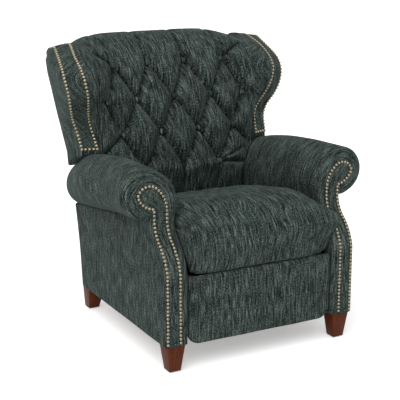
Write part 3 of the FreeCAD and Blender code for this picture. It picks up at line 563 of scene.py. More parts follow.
def seam_z(y):
    return seam_front_z - seam_fall * (y - feet_plane)


def arm_rear_y(z):
    return arm_rear_low + arm_rear_lean * (z - frame_low)


def flare_x(y, z):
    """How far the outside of the arm leans out, most at the top of its rear corner."""
    return panel_flare * ease((z - 0.22) / 0.32) * ease((y - feet_plane - 0.20) / 0.50)


def roll_outline(y):
    """Inner face and roll in one line (x, z), from the foot of the inner face to the outer seam."""
    base = seam_z(y)
    share = (y - roll_front) / (roll_rear - roll_front)
    head = max(0.0, 1 - 3 * share)
    out_x = roll_out + head_swell * head - rear_narrowing * max(0.0, 2 * share - 1) ** 2
    full = float(0.6 * ease((share + 0.05) / 0.3) + 0.4 * ease((share - 0.50) / 0.2)
                 - 1.9 * ease((share - 0.765) / 0.16))
    arch = roll_arch * math.sin(math.pi * min(max(share, 0.0), 1.0))
    top = (roll_top_x, base + roll_height + arch + roll_rise * full)
    belly = base + roll_belly
    inner = np.stack([np.full(inner_count, arm_in), np.linspace(frame_low, base, inner_count)], axis=1)
    roll = arc_chain([
        (arm_in, base), (roll_in, belly), top, (out_x, belly + 0.004 + head_lift * head),
        (arm_out + flare_x(y, base) - 0.004, base)], (30, 34))
    return smoothed(np.concatenate([inner[:-1], resampled(roll, roll_count)]), 6)


def roll_crown(x, y):
    """Height of the arm roll's upper surface at a place."""
    section = roll_outline(y)[inner_count:]
    top = int(np.argmax(section[:, 1]))
    inner = int(np.argmin(section[:top, 0]))
    outer = top + int(np.argmax(section[top:, 0]))
    return float(np.interp(x, section[inner:outer, 0], section[inner:outer, 1], left=0.0, right=0.0))


nail_line = np.concatenate([
    [(nail_in, frame_low)],
    arc_chain([(nail_in, neck_z + 0.021), (0.343, neck_z + 0.067), (0.369, neck_z + 0.103),
               (0.408, neck_z + 0.117), (0.444, neck_z + 0.084), (0.423, neck_z + 0.051),
               (nail_out, neck_z + 0.033)], (12, 14, 14)),
    [(nail_out, frame_low)]])


def nail_partners(outline):
    """Point of the nail line that each point of the roll's outline is pulled to."""
    partners = np.zeros_like(outline)
    low = inner_count - 1
    partners[:low + 1, 0] = nail_in
    partners[:low + 1, 1] = outline[:low + 1, 1]
    start = np.array([nail_in, outline[low, 1]])
    rising = nail_line[(nail_line[:, 1] > start[1]) & (np.arange(len(nail_line)) < len(nail_line) - 1)]
    loop = np.concatenate([[start], rising, [(nail_out, neck_z + 0.012)]])
    partners[low:] = resampled(loop, len(outline) - low)
    return partners


front_station = facing_top + 0.028
rear_station = roll_rear - 0.034
front_outline = roll_outline(front_station)
partners = nail_partners(front_outline)
index = np.arange(len(front_outline))
wrap_depth = 0.012 + 0.016 * ease((index - inner_count + 6) / 16.0)
wrap_depth *= 1.0 - 0.65 * ease((index - (len(index) - 9)) / 8.0)
on_inner = index < inner_count
low_reach = np.where(on_inner, ease((front_outline[:, 1] - post_cover_z) / 0.012), 1.0)

rows = []
for step in range(wrap_steps):
    angle = 0.5 * math.pi * step / wrap_steps
    spot = partners + (front_outline - partners) * math.sin(angle)
    bulge = wrap_bulge * math.sin(2 * angle) * ease((index - inner_count) / 10.0)
    depth = facing_y(spot[:, 1]) + wrap_depth * (1 - math.cos(angle)) - bulge
    rows.append(np.stack([spot[:, 0], depth, spot[:, 1]], axis=1))
for step in range(body_rows):
    share = step / (body_rows - 1)
    y = front_station + (rear_station - front_station) * share
    outline = roll_outline(y)
    start = facing_y(outline[:, 1]) + wrap_depth
    end = np.where(on_inner, arm_rear_y(outline[:, 1]) - rear_margin, rear_station)
    short_end = facing_y(outline[:, 1]) + post_cover
    end = short_end + (end - short_end) * low_reach
    depth = start + (end - start) * share
    rows.append(np.stack([outline[:, 0], depth, outline[:, 1]], axis=1))
last = rows[-1]
core = np.stack([
    np.where(on_inner, arm_in + 0.020, np.clip(last[:, 0], arm_in + 0.006, arm_out - 0.010)),
    last[:, 1], np.where(on_inner, last[:, 2], seam_z(rear_station) + 0.004)], axis=1)
pull = core - last
reach = np.maximum(np.linalg.norm(pull, axis=1, keepdims=True), 1e-6)
turn_in = np.where(on_inner, inner_turn, roll_turn)[:, None]
for step in range(1, turn_steps + 1):
    angle = 0.5 * math.pi * step / turn_steps
    inset = turn_in * (1 - math.cos(angle))
    ring = last + pull / reach * np.minimum(inset, 0.9 * reach)
    ring[:, 1] = last[:, 1] + turn_in[:, 0] * math.sin(angle)
    rows.append(ring)
flat = rows[-1]
for share in closing_shares:
    ring = flat + (core - flat) * share
    ring[:, 1] = flat[:, 1]
    rows.append(ring)
arm_grid = np.array(rows)
swell = ripple(arm_grid, arm_swell_size, 11)
lean_in = np.zeros_like(arm_grid)
lean_in[..., 0] = arm_grid[..., 0] - roll_top_x
lean_in[..., 2] = arm_grid[..., 2] - (seam_z(arm_grid[..., 1]) + roll_core_z)
lean_in = unit(lean_in)
fade = ease(np.arange(len(arm_grid)) / 8.0)[:, None] * ease((len(index) - 1 - index) / 6.0)[None, :]
arm_grid += lean_in * (arm_swell * swell * fade * np.where(on_inner, 0.3, 1.0)[None, :])[..., None]
add_arm_covers("arm_cover_", arm_grid, "rows", cover_thick, "arm_roll_", "inside_arm_pad_", fill=0.8)


# Outside arm panels: one cloth per arm over webbing, from the outer nail line round the front
# corner, along the side with one vertical seam, and round the rear corner to the inner edge.
panel_corner = 0.007
rear_corner = 0.010
seam_place = feet_plane + 0.575
seam_sink = 0.0022
seam_half = 0.006
seam_ridge = 0.0007
panel_bulge = 0.0040
panel_rows = 90
panel_low_hem = ((0.0, 0.016), (0.0, 0.0050), (0.0006, 0.0026), (0.0018, 0.0008))
panel_high_hem = ((-0.0025, 0.0010), (-0.0008, 0.0028), (0.0, 0.0052), (0.0, 0.020))
panel_top_lap = 0.012

quarter = np.radians(np.linspace(0, 90, 7))
columns = [("front", x, 0.0, (0.0, -1.0)) for x in np.linspace(nail_out, arm_out - panel_corner, 3)]
columns += [("front", arm_out - panel_corner * (1 - math.sin(turn)), panel_corner * (1 - math.cos(turn)),
             (math.sin(turn), -math.cos(turn))) for turn in quarter[1:]]
side_shares = sorted(set(np.linspace(0.0, 1.0, 70)[1:-1]) | set(
    (seam_place - facing_front) / (arm_rear_low - facing_front) + 0.004 * np.arange(-4, 5)))
columns += [("side", arm_out, share, (1.0, 0.0)) for share in side_shares]
columns += [("rear", arm_out - rear_corner * (1 - math.cos(turn)), -rear_corner * (1 - math.sin(turn)),
             (math.cos(turn), math.sin(turn))) for turn in quarter]
columns += [("rear", x, 0.0, (0.0, 1.0)) for x in np.linspace(arm_out - rear_corner, arm_in + 0.001, 12)[1:]]


def panel_y(kind, place, z):
    """Depth of a column of the panel at height z, its place being a share of the side or a step."""
    if kind == "front":
        return facing_y(z) + place
    if kind == "rear":
        return arm_rear_y(z) + place
    front = facing_y(z) + panel_corner
    return front + (arm_rear_y(z) - rear_corner - front) * place


panel_grid = np.zeros((panel_rows + 8, len(columns), 3))
for number, (kind, x, place, normal) in enumerate(columns):
    top = seam_front_z
    for _ in range(6):
        top = float(seam_z(panel_y(kind, place, top))) - 0.001
    if kind == "front":
        top += panel_top_lap
    levels = np.concatenate([
        [frame_low + rise for rise, _ in panel_low_hem],
        np.linspace(frame_low + 0.004, top - 0.005, panel_rows),
        [top + rise for rise, _ in panel_high_hem]])
    insets = np.array([inset for _, inset in panel_low_hem] + [0.0] * panel_rows
                      + [inset for _, inset in panel_high_hem])
    depths = panel_y(kind, place, levels)
    share_up = (levels - frame_low) / (top - frame_low)
    if kind == "side":
        crown = panel_bulge * np.sqrt(np.clip(4 * share_up * (1 - share_up), 0, 1)) * (
            np.clip(4 * place * (1 - place), 0, 1) ** 0.5)
        crown = crown - seam_sink * np.exp(-((depths - seam_place) / (0.5 * seam_half)) ** 2)
        crown = crown + seam_ridge * np.exp(-((np.abs(depths - seam_place) - seam_half) / 0.005) ** 2)
    else:
        crown = 0.0
    offset = crown - insets
    panel_grid[:, number, 0] = x + normal[0] * offset
    panel_grid[:, number, 0] += flare_x(depths, levels) * ease((x - arm_in) / (arm_out - arm_in))
    panel_grid[:, number, 1] = depths + normal[1] * offset
    panel_grid[:, number, 2] = levels
on_side = np.array([kind == "side" for kind, _, _, _ in columns])
panel_grid[..., 0] += uneven(panel_grid, (0.0009, 0.13, 21), (0.0012, 0.30, 22)) * on_side[None, :]
add_arm_covers("outside_arm_cover_", panel_grid, "columns", cover_thick, "outside_arm_panel_")
wrapped_cloth = chenille("wrapped_chenille", reads_map=False)
dress(wrapped_cloth, "arm_rear_post_left", "arm_rear_post_right")


# Arm facings: a thin padded board between the two nail rows, bent to the double curve and ending
# in the pear-shaped scroll. The cloth sinks a little under each nail row.
facing_rows = 150
facing_columns = 15
facing_dome = 0.0022
facing_board = 0.008
split = int(np.argmax(nail_line[:, 1]))
inner_branch = resampled(nail_line[:split + 1], facing_rows)
outer_branch = resampled(nail_line[split:][::-1], facing_rows)
crosswise = np.linspace(0.0, 1.0, facing_columns)
facing_grid = inner_branch[:, None] + (outer_branch - inner_branch)[:, None] * crosswise[None, :, None]
dome = facing_dome * (1 - (2 * crosswise - 1) ** 4)[None, :] - 0.0008
dome = dome * ease((facing_rows - 1 - np.arange(facing_rows)) / 10.0)[:, None]
sideways = np.zeros(facing_grid.shape[:2] + (3,))
sideways[..., 0] = facing_grid[..., 0]
sideways[..., 2] = facing_grid[..., 1]
sideways[..., 1] = facing_y(facing_grid[..., 1]) - dome
add_arm_covers("arm_facing_cover_", sideways, "columns", facing_board, "arm_facing_")


# Nail heads: domed, antiqued brass over a steel shank, set one beside another. Each row is a
# line with its outward directions, and the heads are spread along it.
nail_radius = 0.0054
nail_height = 0.0031
nail_pitch = 0.0138
nail_lift = 0.0002
trim_points = 700
brass_dark = (0.065, 0.052, 0.032, 1.0)
brass_light = (0.45, 0.385, 0.265, 1.0)

nail_brass = mottled_metal(
    "antique_brass", brass_dark, brass_light, (0.28, 0.50), 420.0, 3.0, (0.34, 0.52), 0.9)


def dome_tree(name, spread):
    """Geometry Nodes tree that sets flattened domes on a line, or on its own points."""
    tree = bpy.data.node_groups.new(name, "GeometryNodeTree")
    for label, kind in (("Geometry", "Geometry"), ("Radius", "Float"), ("Height", "Float"),
                        ("Pitch", "Float"), ("Material", "Material")):
        tree.interface.new_socket(label, in_out="INPUT", socket_type="NodeSocket" + kind)
    tree.interface.new_socket("Geometry", in_out="OUTPUT", socket_type="NodeSocketGeometry")
    given = add_node(tree, "NodeGroupInput").outputs
    places = given["Geometry"]
    if spread:
        curve = add_node(tree, "GeometryNodeMeshToCurve", {"Mesh": places})
        even = add_node(tree, "GeometryNodeResampleCurve", {"Curve": curve.outputs["Curve"]})
        even.mode = "LENGTH"
        fill_inputs(tree, even, {"Length": given["Pitch"]})
        places = even.outputs["Curve"]
    ball = add_node(tree, "GeometryNodeMeshUVSphere", {"Segments": 14, "Rings": 8, "Radius": 1.0})
    size = add_node(tree, "ShaderNodeCombineXYZ", {
        "X": given["Radius"], "Y": given["Radius"], "Z": given["Height"]})
    facing = add_node(tree, "GeometryNodeInputNamedAttribute", {"Name": "out"})
    facing.data_type = "FLOAT_VECTOR"
    turn = add_node(tree, "FunctionNodeAlignEulerToVector")
    turn.axis = "Z"
    fill_inputs(tree, turn, {"Vector": facing.outputs["Attribute"]})
    heads = add_node(tree, "GeometryNodeInstanceOnPoints", {
        "Points": places, "Instance": ball.outputs["Mesh"], "Rotation": turn.outputs["Rotation"],
        "Scale": size.outputs["Vector"]})
    real = add_node(tree, "GeometryNodeRealizeInstances", {"Geometry": heads.outputs["Instances"]})
    smooth = add_node(tree, "GeometryNodeSetShadeSmooth", {"Geometry": real.outputs["Geometry"]})
    finish = add_node(tree, "GeometryNodeSetMaterial", {
        "Geometry": smooth.outputs["Geometry"], "Material": given["Material"]})
    add_node(tree, "NodeGroupOutput", {"Geometry": finish.outputs["Geometry"]})
    return tree


def set_domes(name, lines, tree, radius, height, material):
    """One mesh of domes along the (points, outward directions) lines and their mirror images."""
    points, edges, outs = [], [], []
    for places, directions in lines:
        for side in (1.0, -1.0):
            first = len(points)
            points += [(side * p[0], p[1], p[2]) for p in places]
            outs += [(side * d[0], d[1], d[2]) for d in directions]
            edges += [(first + step, first + step + 1) for step in range(len(places) - 1)]
    mesh = bpy.data.meshes.new(name)
    mesh.from_pydata(points, edges, [])
    out = mesh.attributes.new("out", "FLOAT_VECTOR", "POINT")
    out.data.foreach_set("vector", np.array(outs, np.float32).ravel())
    piece = bpy.data.objects.new(name, mesh)
    scene.collection.objects.link(piece)
    spread = piece.modifiers.new("domes", "NODES")
    spread.node_group = tree
    sockets = {item.name: item.identifier for item in tree.interface.items_tree if item.in_out == "INPUT"}
    given = {"Radius": radius, "Height": height, "Pitch": nail_pitch, "Material": material}
    for label, value in given.items():
        spread[sockets[label]] = value
    return bake_modifiers(piece)


nail_tree = dome_tree("nail_row", True)
trim = resampled(nail_line, trim_points)
trim = trim[trim[:, 1] > frame_low + 0.012]
tilt = (facing_y(trim[:, 1] + 0.001) - facing_y(trim[:, 1] - 0.001)) / 0.002
trim_out = unit(np.stack([np.zeros(len(trim)), -np.ones(len(trim)), tilt], axis=1))
trim_place = np.stack([trim[:, 0], facing_y(trim[:, 1]), trim[:, 1]], axis=1) + trim_out * nail_lift
arm_trim = set_domes(
    "arm_nail_trim", [(trim_place, trim_out)], nail_tree, nail_radius, nail_height, nail_brass)
settle(arm_trim, "base", ["arm_nails"])


# Low rear panel: board covered with the same cloth, stretched between the arms under the back.
panel_low, panel_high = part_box("lower_rear_panel")
panel_ease = 0.004
panel_crown = 0.001
panel_board = 0.005
panel_steps = (24, 90)
upward, across = (1 - np.abs(np.linspace(-1, 1, count)) ** 6 for count in panel_steps)
rear_panel_grid = np.zeros((*panel_steps, 3))
rear_panel_grid[..., 0] = np.linspace(panel_low[0], panel_high[0], panel_steps[1])[None, :]
rear_panel_grid[..., 2] = np.linspace(panel_low[2], panel_high[2], panel_steps[0])[:, None]
rear_panel_grid[..., 1] = panel_high[1] - panel_ease + (panel_ease + panel_crown) * np.sqrt(
    np.clip(across[None, :] * upward[:, None], 0, 1))
add_cover("lower_rear_cover", rear_panel_grid[:, ::-1], "columns", panel_board, "base", ["lower_rear_panel"])


# Deck pad: thin felted pad in dark cloth over the seat springs, under the cushion. The same cloth, greyed
# and darkened, covers the front rail and the boards that show when the footrest is open. On them its dark is
# painted shade for the gap under the cushion.
deck_low, deck_high = (np.array(corner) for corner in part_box("deck_pad"))
deck_round = 0.006
deck_lap = 0.10
deck_points = 160
deck_power = 14.0
# Darkening of the deck cloth, partly painted shade for the gap under the cushion
deck_and_gap_shade = 0.22

centre = (deck_low + deck_high) / 2.0
half = (deck_high - deck_low) / 2.0
angles = np.linspace(0.0, 2 * math.pi, deck_points, endpoint=False)
plan = np.stack([np.cos(angles), np.sin(angles)], axis=1)
plan /= (np.abs(plan[:, :1]) ** deck_power + np.abs(plan[:, 1:]) ** deck_power) ** (1.0 / deck_power)
steps = [(0.0, deck_lap * half[0])] + [
    (deck_round * (1 - math.cos(turn)), deck_round * (1 - math.sin(turn)))
    for turn in np.linspace(0, 0.5 * math.pi, 5)]
levels = [(deck_low[2] + rise, inset) for rise, inset in steps]
levels += [(deck_high[2] - rise, inset) for rise, inset in reversed(steps)]
deck_grid = np.array([np.column_stack([
    centre[:2] + plan * (half[:2] - inset), np.full(deck_points, z)]) for z, inset in levels])

deck_and_gap_shade_cloth = chenille("deck_felt")
# This cloth is greyed and darkened below. On the front rail and the boards its dark is painted shade where
# they show in the gap under the cushion.
dress(deck_and_gap_shade_cloth, "seat_front_rail", "footrest_board", "mechanism_board_left", "mechanism_board_right")
for node in deck_and_gap_shade_cloth.node_tree.nodes:
    if node.bl_idname == "ShaderNodeValToRGB":
        for element in node.color_ramp.elements:
            grey = deck_and_gap_shade * sum(element.color[:3]) / 3.0
            element.color = (grey, grey, grey, 1.0)
deck = add_closed("deck_felt", deck_grid, deck_and_gap_shade_cloth)
settle(deck, "seat", ["deck_pad"])


# Seat cushion: foam in a fibre wrap, covered in one cloth that rolls over the front edge. The
# side seams pull it in, and its crown falls away towards the back.
cushion_half = 0.298
cushion_low = 0.344
cushion_rear = feet_plane + 0.604
cushion_steps = 73
cushion_ring_points = 110
cushion_under_points = 42
cushion_crown = 0.550
cushion_cell = 0.007
cushion_pressure = 4.0
cushion_swell = 0.018
cloth_stiffness = 12.0
cloth_bend = 0.6
corner_spill = 0.046
corner_forward = 0.013
corner_from_y = -0.395
arm_clear_z = 0.588
sat_shift = 0.005
front_sag = 0.010
sag_from_y = -0.430
arm_clearance = 0.009


def crowded(count, bend=1.0):
    """Shares from -1 to 1 that crowd together towards both ends."""
    return np.sin(np.linspace(-0.5, 0.5, count) * math.pi * bend) / math.sin(0.5 * math.pi * bend)


def cushion_ring(x):
    """Outline (y, z) at x, from the toe at the front over the crown to the heel."""
    share = x / cushion_half
    draw = abs(share) ** 5
    front = feet_plane - 0.018 - 0.016 * (1 - share * share) + 0.008 * draw
    crown = cushion_crown - 0.008 * share * share - 0.022 * draw
    rear_top = 0.466 - 0.014 * draw
    low = cushion_low + 0.008 * draw
    rear = cushion_rear - 0.008 * draw
    brow_z = crown - 0.024
    slope = (feet_plane + 0.384 + 0.45 * (front - feet_plane + 0.016), (crown + rear_top) / 2.0 + 0.008)
    line = arc_chain([
        (front + 0.018, low), (front, (low + brow_z) / 2.0), (front + 0.034, brow_z),
        (front + 0.120, crown), (front + 0.250, crown - 0.004), slope, (rear - 0.016, rear_top),
        (rear - 0.001, (rear_top + low) / 2.0 + 0.016), (rear, low)], (24, 24, 24, 10))
    return smoothed(resampled(line, cushion_ring_points), 10)


cushion_rows = []
for share in crowded(cushion_steps):
    upper = cushion_ring(share * cushion_half)
    under = np.linspace(upper[-1], upper[0], cushion_under_points)[1:-1]
    line = np.concatenate([upper, under])
    cushion_rows.append(np.stack([np.full(len(line), share * cushion_half), line[:, 0], line[:, 1]], axis=1))
cushion_grid = np.array(cushion_rows)


def puff(piece, voxel, pressure, cap, inside, frames=20):
    """Lets the cover swell like a stuffed bag, held within cap of where it starts and by inside()."""
    start_mesh = piece.data
    remesh = piece.modifiers.new("even cloth", "REMESH")
    remesh.mode = "VOXEL"
    remesh.voxel_size = voxel
    bake_modifiers(piece)
    bpy.data.meshes.remove(start_mesh)
    before = read_points(piece.data)
    cloth = piece.modifiers.new("cover", "CLOTH")
    cloth.settings.use_pressure = True
    cloth.settings.uniform_pressure_force = pressure
    cloth.settings.effector_weights.gravity = 0.0
    cloth.settings.tension_stiffness = cloth_stiffness
    cloth.settings.compression_stiffness = cloth_stiffness
    cloth.settings.bending_stiffness = cloth_bend
    cloth.settings.quality = 5
    for frame_number in range(1, frames + 1):
        scene.frame_set(frame_number)
    bake_modifiers(piece)
    scene.frame_set(1)
    move = read_points(piece.data) - before
    size = np.linalg.norm(move, axis=1, keepdims=True)
    after = inside(before + move * np.minimum(1.0, cap / np.maximum(size, 1e-6)))
    piece.data.vertices.foreach_set("co", after.ravel())
    finer = piece.modifiers.new("finer", "SUBSURF")
    finer.levels = finer.render_levels = 1
    return bake_modifiers(piece)


def lay_weave(mesh, profile):
    """Lays the weave over a stuffed piece: its warp follows the profile line in the (y, z) plane,
    and its weft goes on round the sides where the piece falls away from that line."""
    co = read_points(mesh)
    steps = np.linalg.norm(np.diff(profile, axis=0), axis=1)
    along = np.concatenate([[0.0], np.cumsum(steps)])
    best = np.full(len(co), 1e9)
    warp = np.zeros(len(co))
    for number, (a, b) in enumerate(zip(profile, profile[1:])):
        run = b - a
        share = np.clip(((co[:, 1:] - a) @ run) / run.dot(run), 0.0, 1.0)
        away = np.linalg.norm(co[:, 1:] - (a + share[:, None] * run), axis=1)
        nearer = away < best
        best[nearer] = away[nearer]
        warp[nearer] = (along[number] + share * steps[number])[nearer]
    corners = np.zeros(len(mesh.loops), np.int32)
    mesh.loops.foreach_get("vertex_index", corners)
    weft = co[:, 0] + np.sign(co[:, 0]) * 0.8 * best
    places = np.stack([weft[corners], warp[corners]], axis=1)
    while mesh.uv_layers:
        mesh.uv_layers.remove(mesh.uv_layers[0])
    weave = mesh.uv_layers.new(name="weave")
    weave.data.foreach_set("uv", places.ravel())


def cushion_limits(points):
    points[:, 0] = np.clip(points[:, 0], -cushion_half - 0.002, cushion_half + 0.002)
    points[:, 2] = np.maximum(points[:, 2], cushion_low)
    points[:, 1] = np.minimum(points[:, 1], cushion_rear)
    return points


def sat_in(points):
    """Soft unevenness of a used cushion. It was left pushed to the sitter's left, and that front
    corner swells out before the arm facing, while the lower front edge sags on the footrest."""
    side = np.sign(points[:, 0])
    reach = np.abs(points[:, 0])
    ahead = ease((corner_from_y - points[:, 1]) / 0.060)
    belly = ease((points[:, 2] - cushion_low - 0.060) / 0.07) * ease((arm_clear_z - points[:, 2]) / 0.05)
    corner = ahead * belly * ease((reach - 0.15) / 0.13)
    points[:, 0] += side * corner * np.where(side > 0, corner_spill, 0.35 * corner_spill)
    points[:, 1] -= corner * corner_forward
    points[:, 0] += sat_shift * ease((0.10 - points[:, 1]) / 0.20)
    sag = front_sag + 0.012 * ease((reach - 0.08) / 0.14) - 0.014 * ease((reach - 0.235) / 0.05)
    sag = sag * ease((0.40 - points[:, 2]) / 0.05)
    points[:, 2] -= sag * ease((sag_from_y - points[:, 1]) / 0.020)
    points[:, 2] = np.maximum(points[:, 2], cushion_low + 0.0006)
    clear = facing_y(points[:, 2]) - points[:, 1] - arm_clearance
    limit = cushion_half + 0.001 + 1.3 * np.clip(clear, 0.0, 0.026)
    points[:, 0] = np.clip(points[:, 0], -limit, limit)
    swell = uneven(points, (0.0022, 0.17, 31), (0.0012, 0.06, 32))
    top = ease((points[:, 2] - cushion_low - 0.03) / 0.08)
    points[:, 2] += swell * top
    points[:, 1] -= 0.6 * swell * ease((feet_plane + 0.10 - points[:, 1]) / 0.08)
    return points


cushion = add_closed("seat_cushion_cover", cushion_grid)
puff(cushion, cushion_cell, cushion_pressure, cushion_swell, cushion_limits)
cushion.data.vertices.foreach_set("co", sat_in(read_points(cushion.data)).ravel())
cushion.data.update()
lay_weave(cushion.data, cushion_ring(0.0))
cushion.data.materials.clear()
cushion.data.materials.append(cover_cloth)
cushion.data.shade_smooth()
settle(cushion, "seat", ["seat_cushion"])


# Footrest pad: foam on the folding board, its cover drawn over the edges and round the low corners.
rest_low, rest_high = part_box("footrest_pad")
rest_corner = 0.048
rest_top_corner = 0.009
rest_edge = 0.015
rest_crown = 0.004
rest_ring_points = 220
rest_face_rings = 34
corner_cut = 1 - math.sqrt(0.5)


def rest_outline(inset, y):
    """Outline of the pad at depth y, drawn in by inset, with round low corners and eased top ones."""
    half = rest_high[0] - inset
    low = rest_low[2] + inset
    high = rest_high[2] - inset
    corner = rest_corner - 0.5 * inset
    line = np.concatenate([
        [(0.0, low)],
        arc_points((half - corner, low), (half - corner_cut * corner, low + corner_cut * corner),
                   (half, low + corner), 14),
        arc_points((half, high - rest_top_corner),
                   (half - corner_cut * rest_top_corner, high - corner_cut * rest_top_corner),
                   (half - rest_top_corner, high), 6),
        [(0.0, high)]])
    half_line = resampled(line, rest_ring_points // 2 + 1)
    other = half_line[::-1][1:-1].copy()
    other[:, 0] *= -1.0
    line = np.concatenate([half_line, other])
    return np.stack([line[:, 0], np.full(len(line), y), line[:, 1]], axis=1)


rest_rows = [rest_outline(0.30 * rest_high[2], rest_high[1]), rest_outline(0.012, rest_high[1]),
             rest_outline(0.0015, rest_high[1] - 0.001), rest_outline(0.0, rest_high[1] - 0.003)]
for angle in np.linspace(0.0, 0.5 * math.pi, 9):
    rest_rows.append(rest_outline(
        rest_edge * (1 - math.cos(angle)), rest_low[1] + rest_edge * (1 - math.sin(angle))))
face_ring = rest_rows[-1]
middle = np.array([0.0, rest_low[1], (rest_low[2] + rest_high[2]) / 2.0])
for share in np.linspace(0.0, 0.985, rest_face_rings)[1:]:
    ring = face_ring + (middle - face_ring) * share
    near = 1 - (1 - share) ** 2
    ring[:, 1] = rest_low[1] - rest_crown * near
    rest_rows.append(ring)
rest_grid = np.array(rest_rows)
rest_grid[..., 1] += uneven(rest_grid, (0.0012, 0.15, 41), (0.0007, 0.05, 42))
rest_pad = add_closed("footrest_cover", rest_grid)
lay_weave(rest_pad.data, np.array([
    (rest_high[1], rest_low[2]), (rest_low[1], rest_low[2] + 0.004),
    (rest_low[1], rest_high[2] - 0.004), (rest_high[1], rest_high[2])]))
settle(rest_pad, "footrest", ["footrest_pad"])


# Back pad: a barrel of foam and fibre with deep diamond tufts. Buttons pull the cloth in, folded
# pleats run between them, and plain pleats run over the crest and down behind the cushion.
back_slope = 0.3275
back_half = 0.345
back_low_half = 0.282
back_foot_z = 0.335
back_top_z = 1.056
crest_z = 1.095
crest_fall = 0.033
pad_gap = 0.054
ledge_z = 1.0403
cover_gap = 0.0083
wing_line_high = 0.663
wing_line_from = 0.640
wing_line_fall = 0.28
tuft_tilt = math.radians(22.0)
tuft_reach = 0.296
tuft_rows = (
    (0.985, (-0.246, -0.082, 0.082, 0.246), 0.768, -0.034),
    (0.855, (-0.296, -0.164, 0.0, 0.164, 0.296), 0.688, -0.034),
    (0.728, (-0.246, -0.082, 0.082, 0.246), 0.634, 0.0),
    (0.590, (-0.164, 0.0, 0.164), 0.600, 0.008),
)
pleat_half = 0.078
pleat_middle_depth = 0.034
pleat_fall = 3.0
button_half = 0.060
button_fall = 2.4
crease_depth = 0.024
soft_crease = 0.013
crease_half = 0.0068
side_pleats = (
    (-1, 0.125, -0.012, 0.006, 0.010, 0.040, crease_depth),
    (-1, 0.125, 0.045, 0.002, 0.007, 0.032, soft_crease),
    (2, 0.085, -0.075, 0.012, 0.020, 0.060, crease_depth),
    (1, 0.052, 0.004, 0.002, 0.007, 0.032, soft_crease),
    (0, 0.095, 0.060, 0.004, 0.014, 0.055, crease_depth),
)
back_columns = 241
back_rows = 350
column_bend = 0.86
pucker_height = 0.0013
pucker_radius = 0.022
pucker_half = 0.014
pull_power = 6.0
side_round = 0.016
wing_side_round = 0.004
roll_gap = 0.004


def rear_y(z):
    return feet_plane + 0.709 + back_slope * (z - 0.300)


def wing_line_z(y):
    return wing_line_high - wing_line_fall * (y - feet_plane - wing_line_from)


def back_profile(x):
    """Front of the pad seen from the side at x, from its foot over the crest to the rear top."""
    t = (abs(x) / back_half) ** 2
    top = rear_y(back_top_z) - feet_plane
    stops = [
        (0.632, back_foot_z), (0.600 + 0.020 * t, 0.460), (0.556 + 0.066 * t, 0.590),
        (0.578 + 0.066 * t, 0.715), (0.640 - 0.006 * t, 0.850), (0.700 - 0.066 * t, 0.955),
        (top - 0.1616 - 0.030 * t, back_top_z), (top - 0.1146 - 0.014 * t, crest_z - 0.012 - 0.017 * t ** 3),
        (top - 0.0566, crest_z - crest_fall * t ** 3), (top - 0.0206, crest_z - 0.007 - crest_fall * t ** 3),
        (top - cover_gap, back_top_z)]
    line = arc_chain(stops, (30, 30, 30, 30, 30))
    line[:, 0] += feet_plane
    return smoothed(resampled(line, back_rows), 4)


known_x = np.linspace(0.0, back_half, 24)
known = np.array([back_profile(x) for x in known_x])
edge_line = known[-1]
above = edge_line[:, 1] > wing_line_z(edge_line[:, 0])
turn_row = int(np.argmax(above))
row_index = np.arange(back_rows)
roll_section = roll_outline(edge_line[turn_row, 0])[inner_count:]
roll_section = roll_section[:int(np.argmax(roll_section[:, 1]))]
belly_row = int(np.argmin(roll_section[:, 0]))
beside_roll = np.interp(edge_line[:, 1], roll_section[belly_row:, 1], roll_section[belly_row:, 0]) - roll_gap
half_width = np.where(above, back_half, np.clip(beside_roll, back_low_half, back_half))
half_width = np.where(edge_line[:, 1] < roll_section[belly_row, 1], back_low_half, half_width)
half_width = smoothed(half_width[:, None], 6)[:, 0]
rear_half = smoothed(np.where(above, back_half, back_low_half)[:, None], 4)[:, 0]
wall_shares = np.linspace(0, 1, 12)[1:]
wall_path = np.stack([np.minimum(2.6 * wall_shares, 1.0), wall_shares, wall_shares], axis=1)
column_share = crowded(back_columns, column_bend)
front = np.zeros((back_rows, back_columns, 3))
for row in range(back_rows):
    xs = column_share * half_width[row]
    front[row, :, 0] = xs
    for axis in (0, 1):
        front[row, :, axis + 1] = np.interp(np.abs(xs), known_x, known[:, row, axis])
layout = front.copy()
rounds = np.where(above, wing_side_round, side_round)[:, None]
from_edge = (np.abs(front[..., 0]) - (half_width[:, None] - rounds)) / rounds
front[..., 1] += rounds * (1 - np.sqrt(np.clip(1 - np.clip(from_edge, 0, 1) ** 2, 0, 1)))

tuft_out = np.array([0.0, -math.cos(tuft_tilt), math.sin(tuft_tilt)])
tuft_up = np.array([0.0, math.sin(tuft_tilt), math.cos(tuft_tilt)])
plane = np.stack([front[..., 0], front @ tuft_up], axis=2)
height = front @ tuft_out


class Tuft:
    """One button: where it sits, and how deep below the pad's plain surface."""

    def __init__(self, x, row):
        z, _, depth, side_shift = row
        self.seat = np.array([x, feet_plane + depth + side_shift * (x / tuft_reach) ** 2, z])
        self.spot = np.array([x, self.seat @ tuft_up])
        away = np.linalg.norm(plane - self.spot, axis=2)
        nearest = np.unravel_index(np.argmin(away), away.shape)
        self.depth = float(height[nearest] - self.seat @ tuft_out)


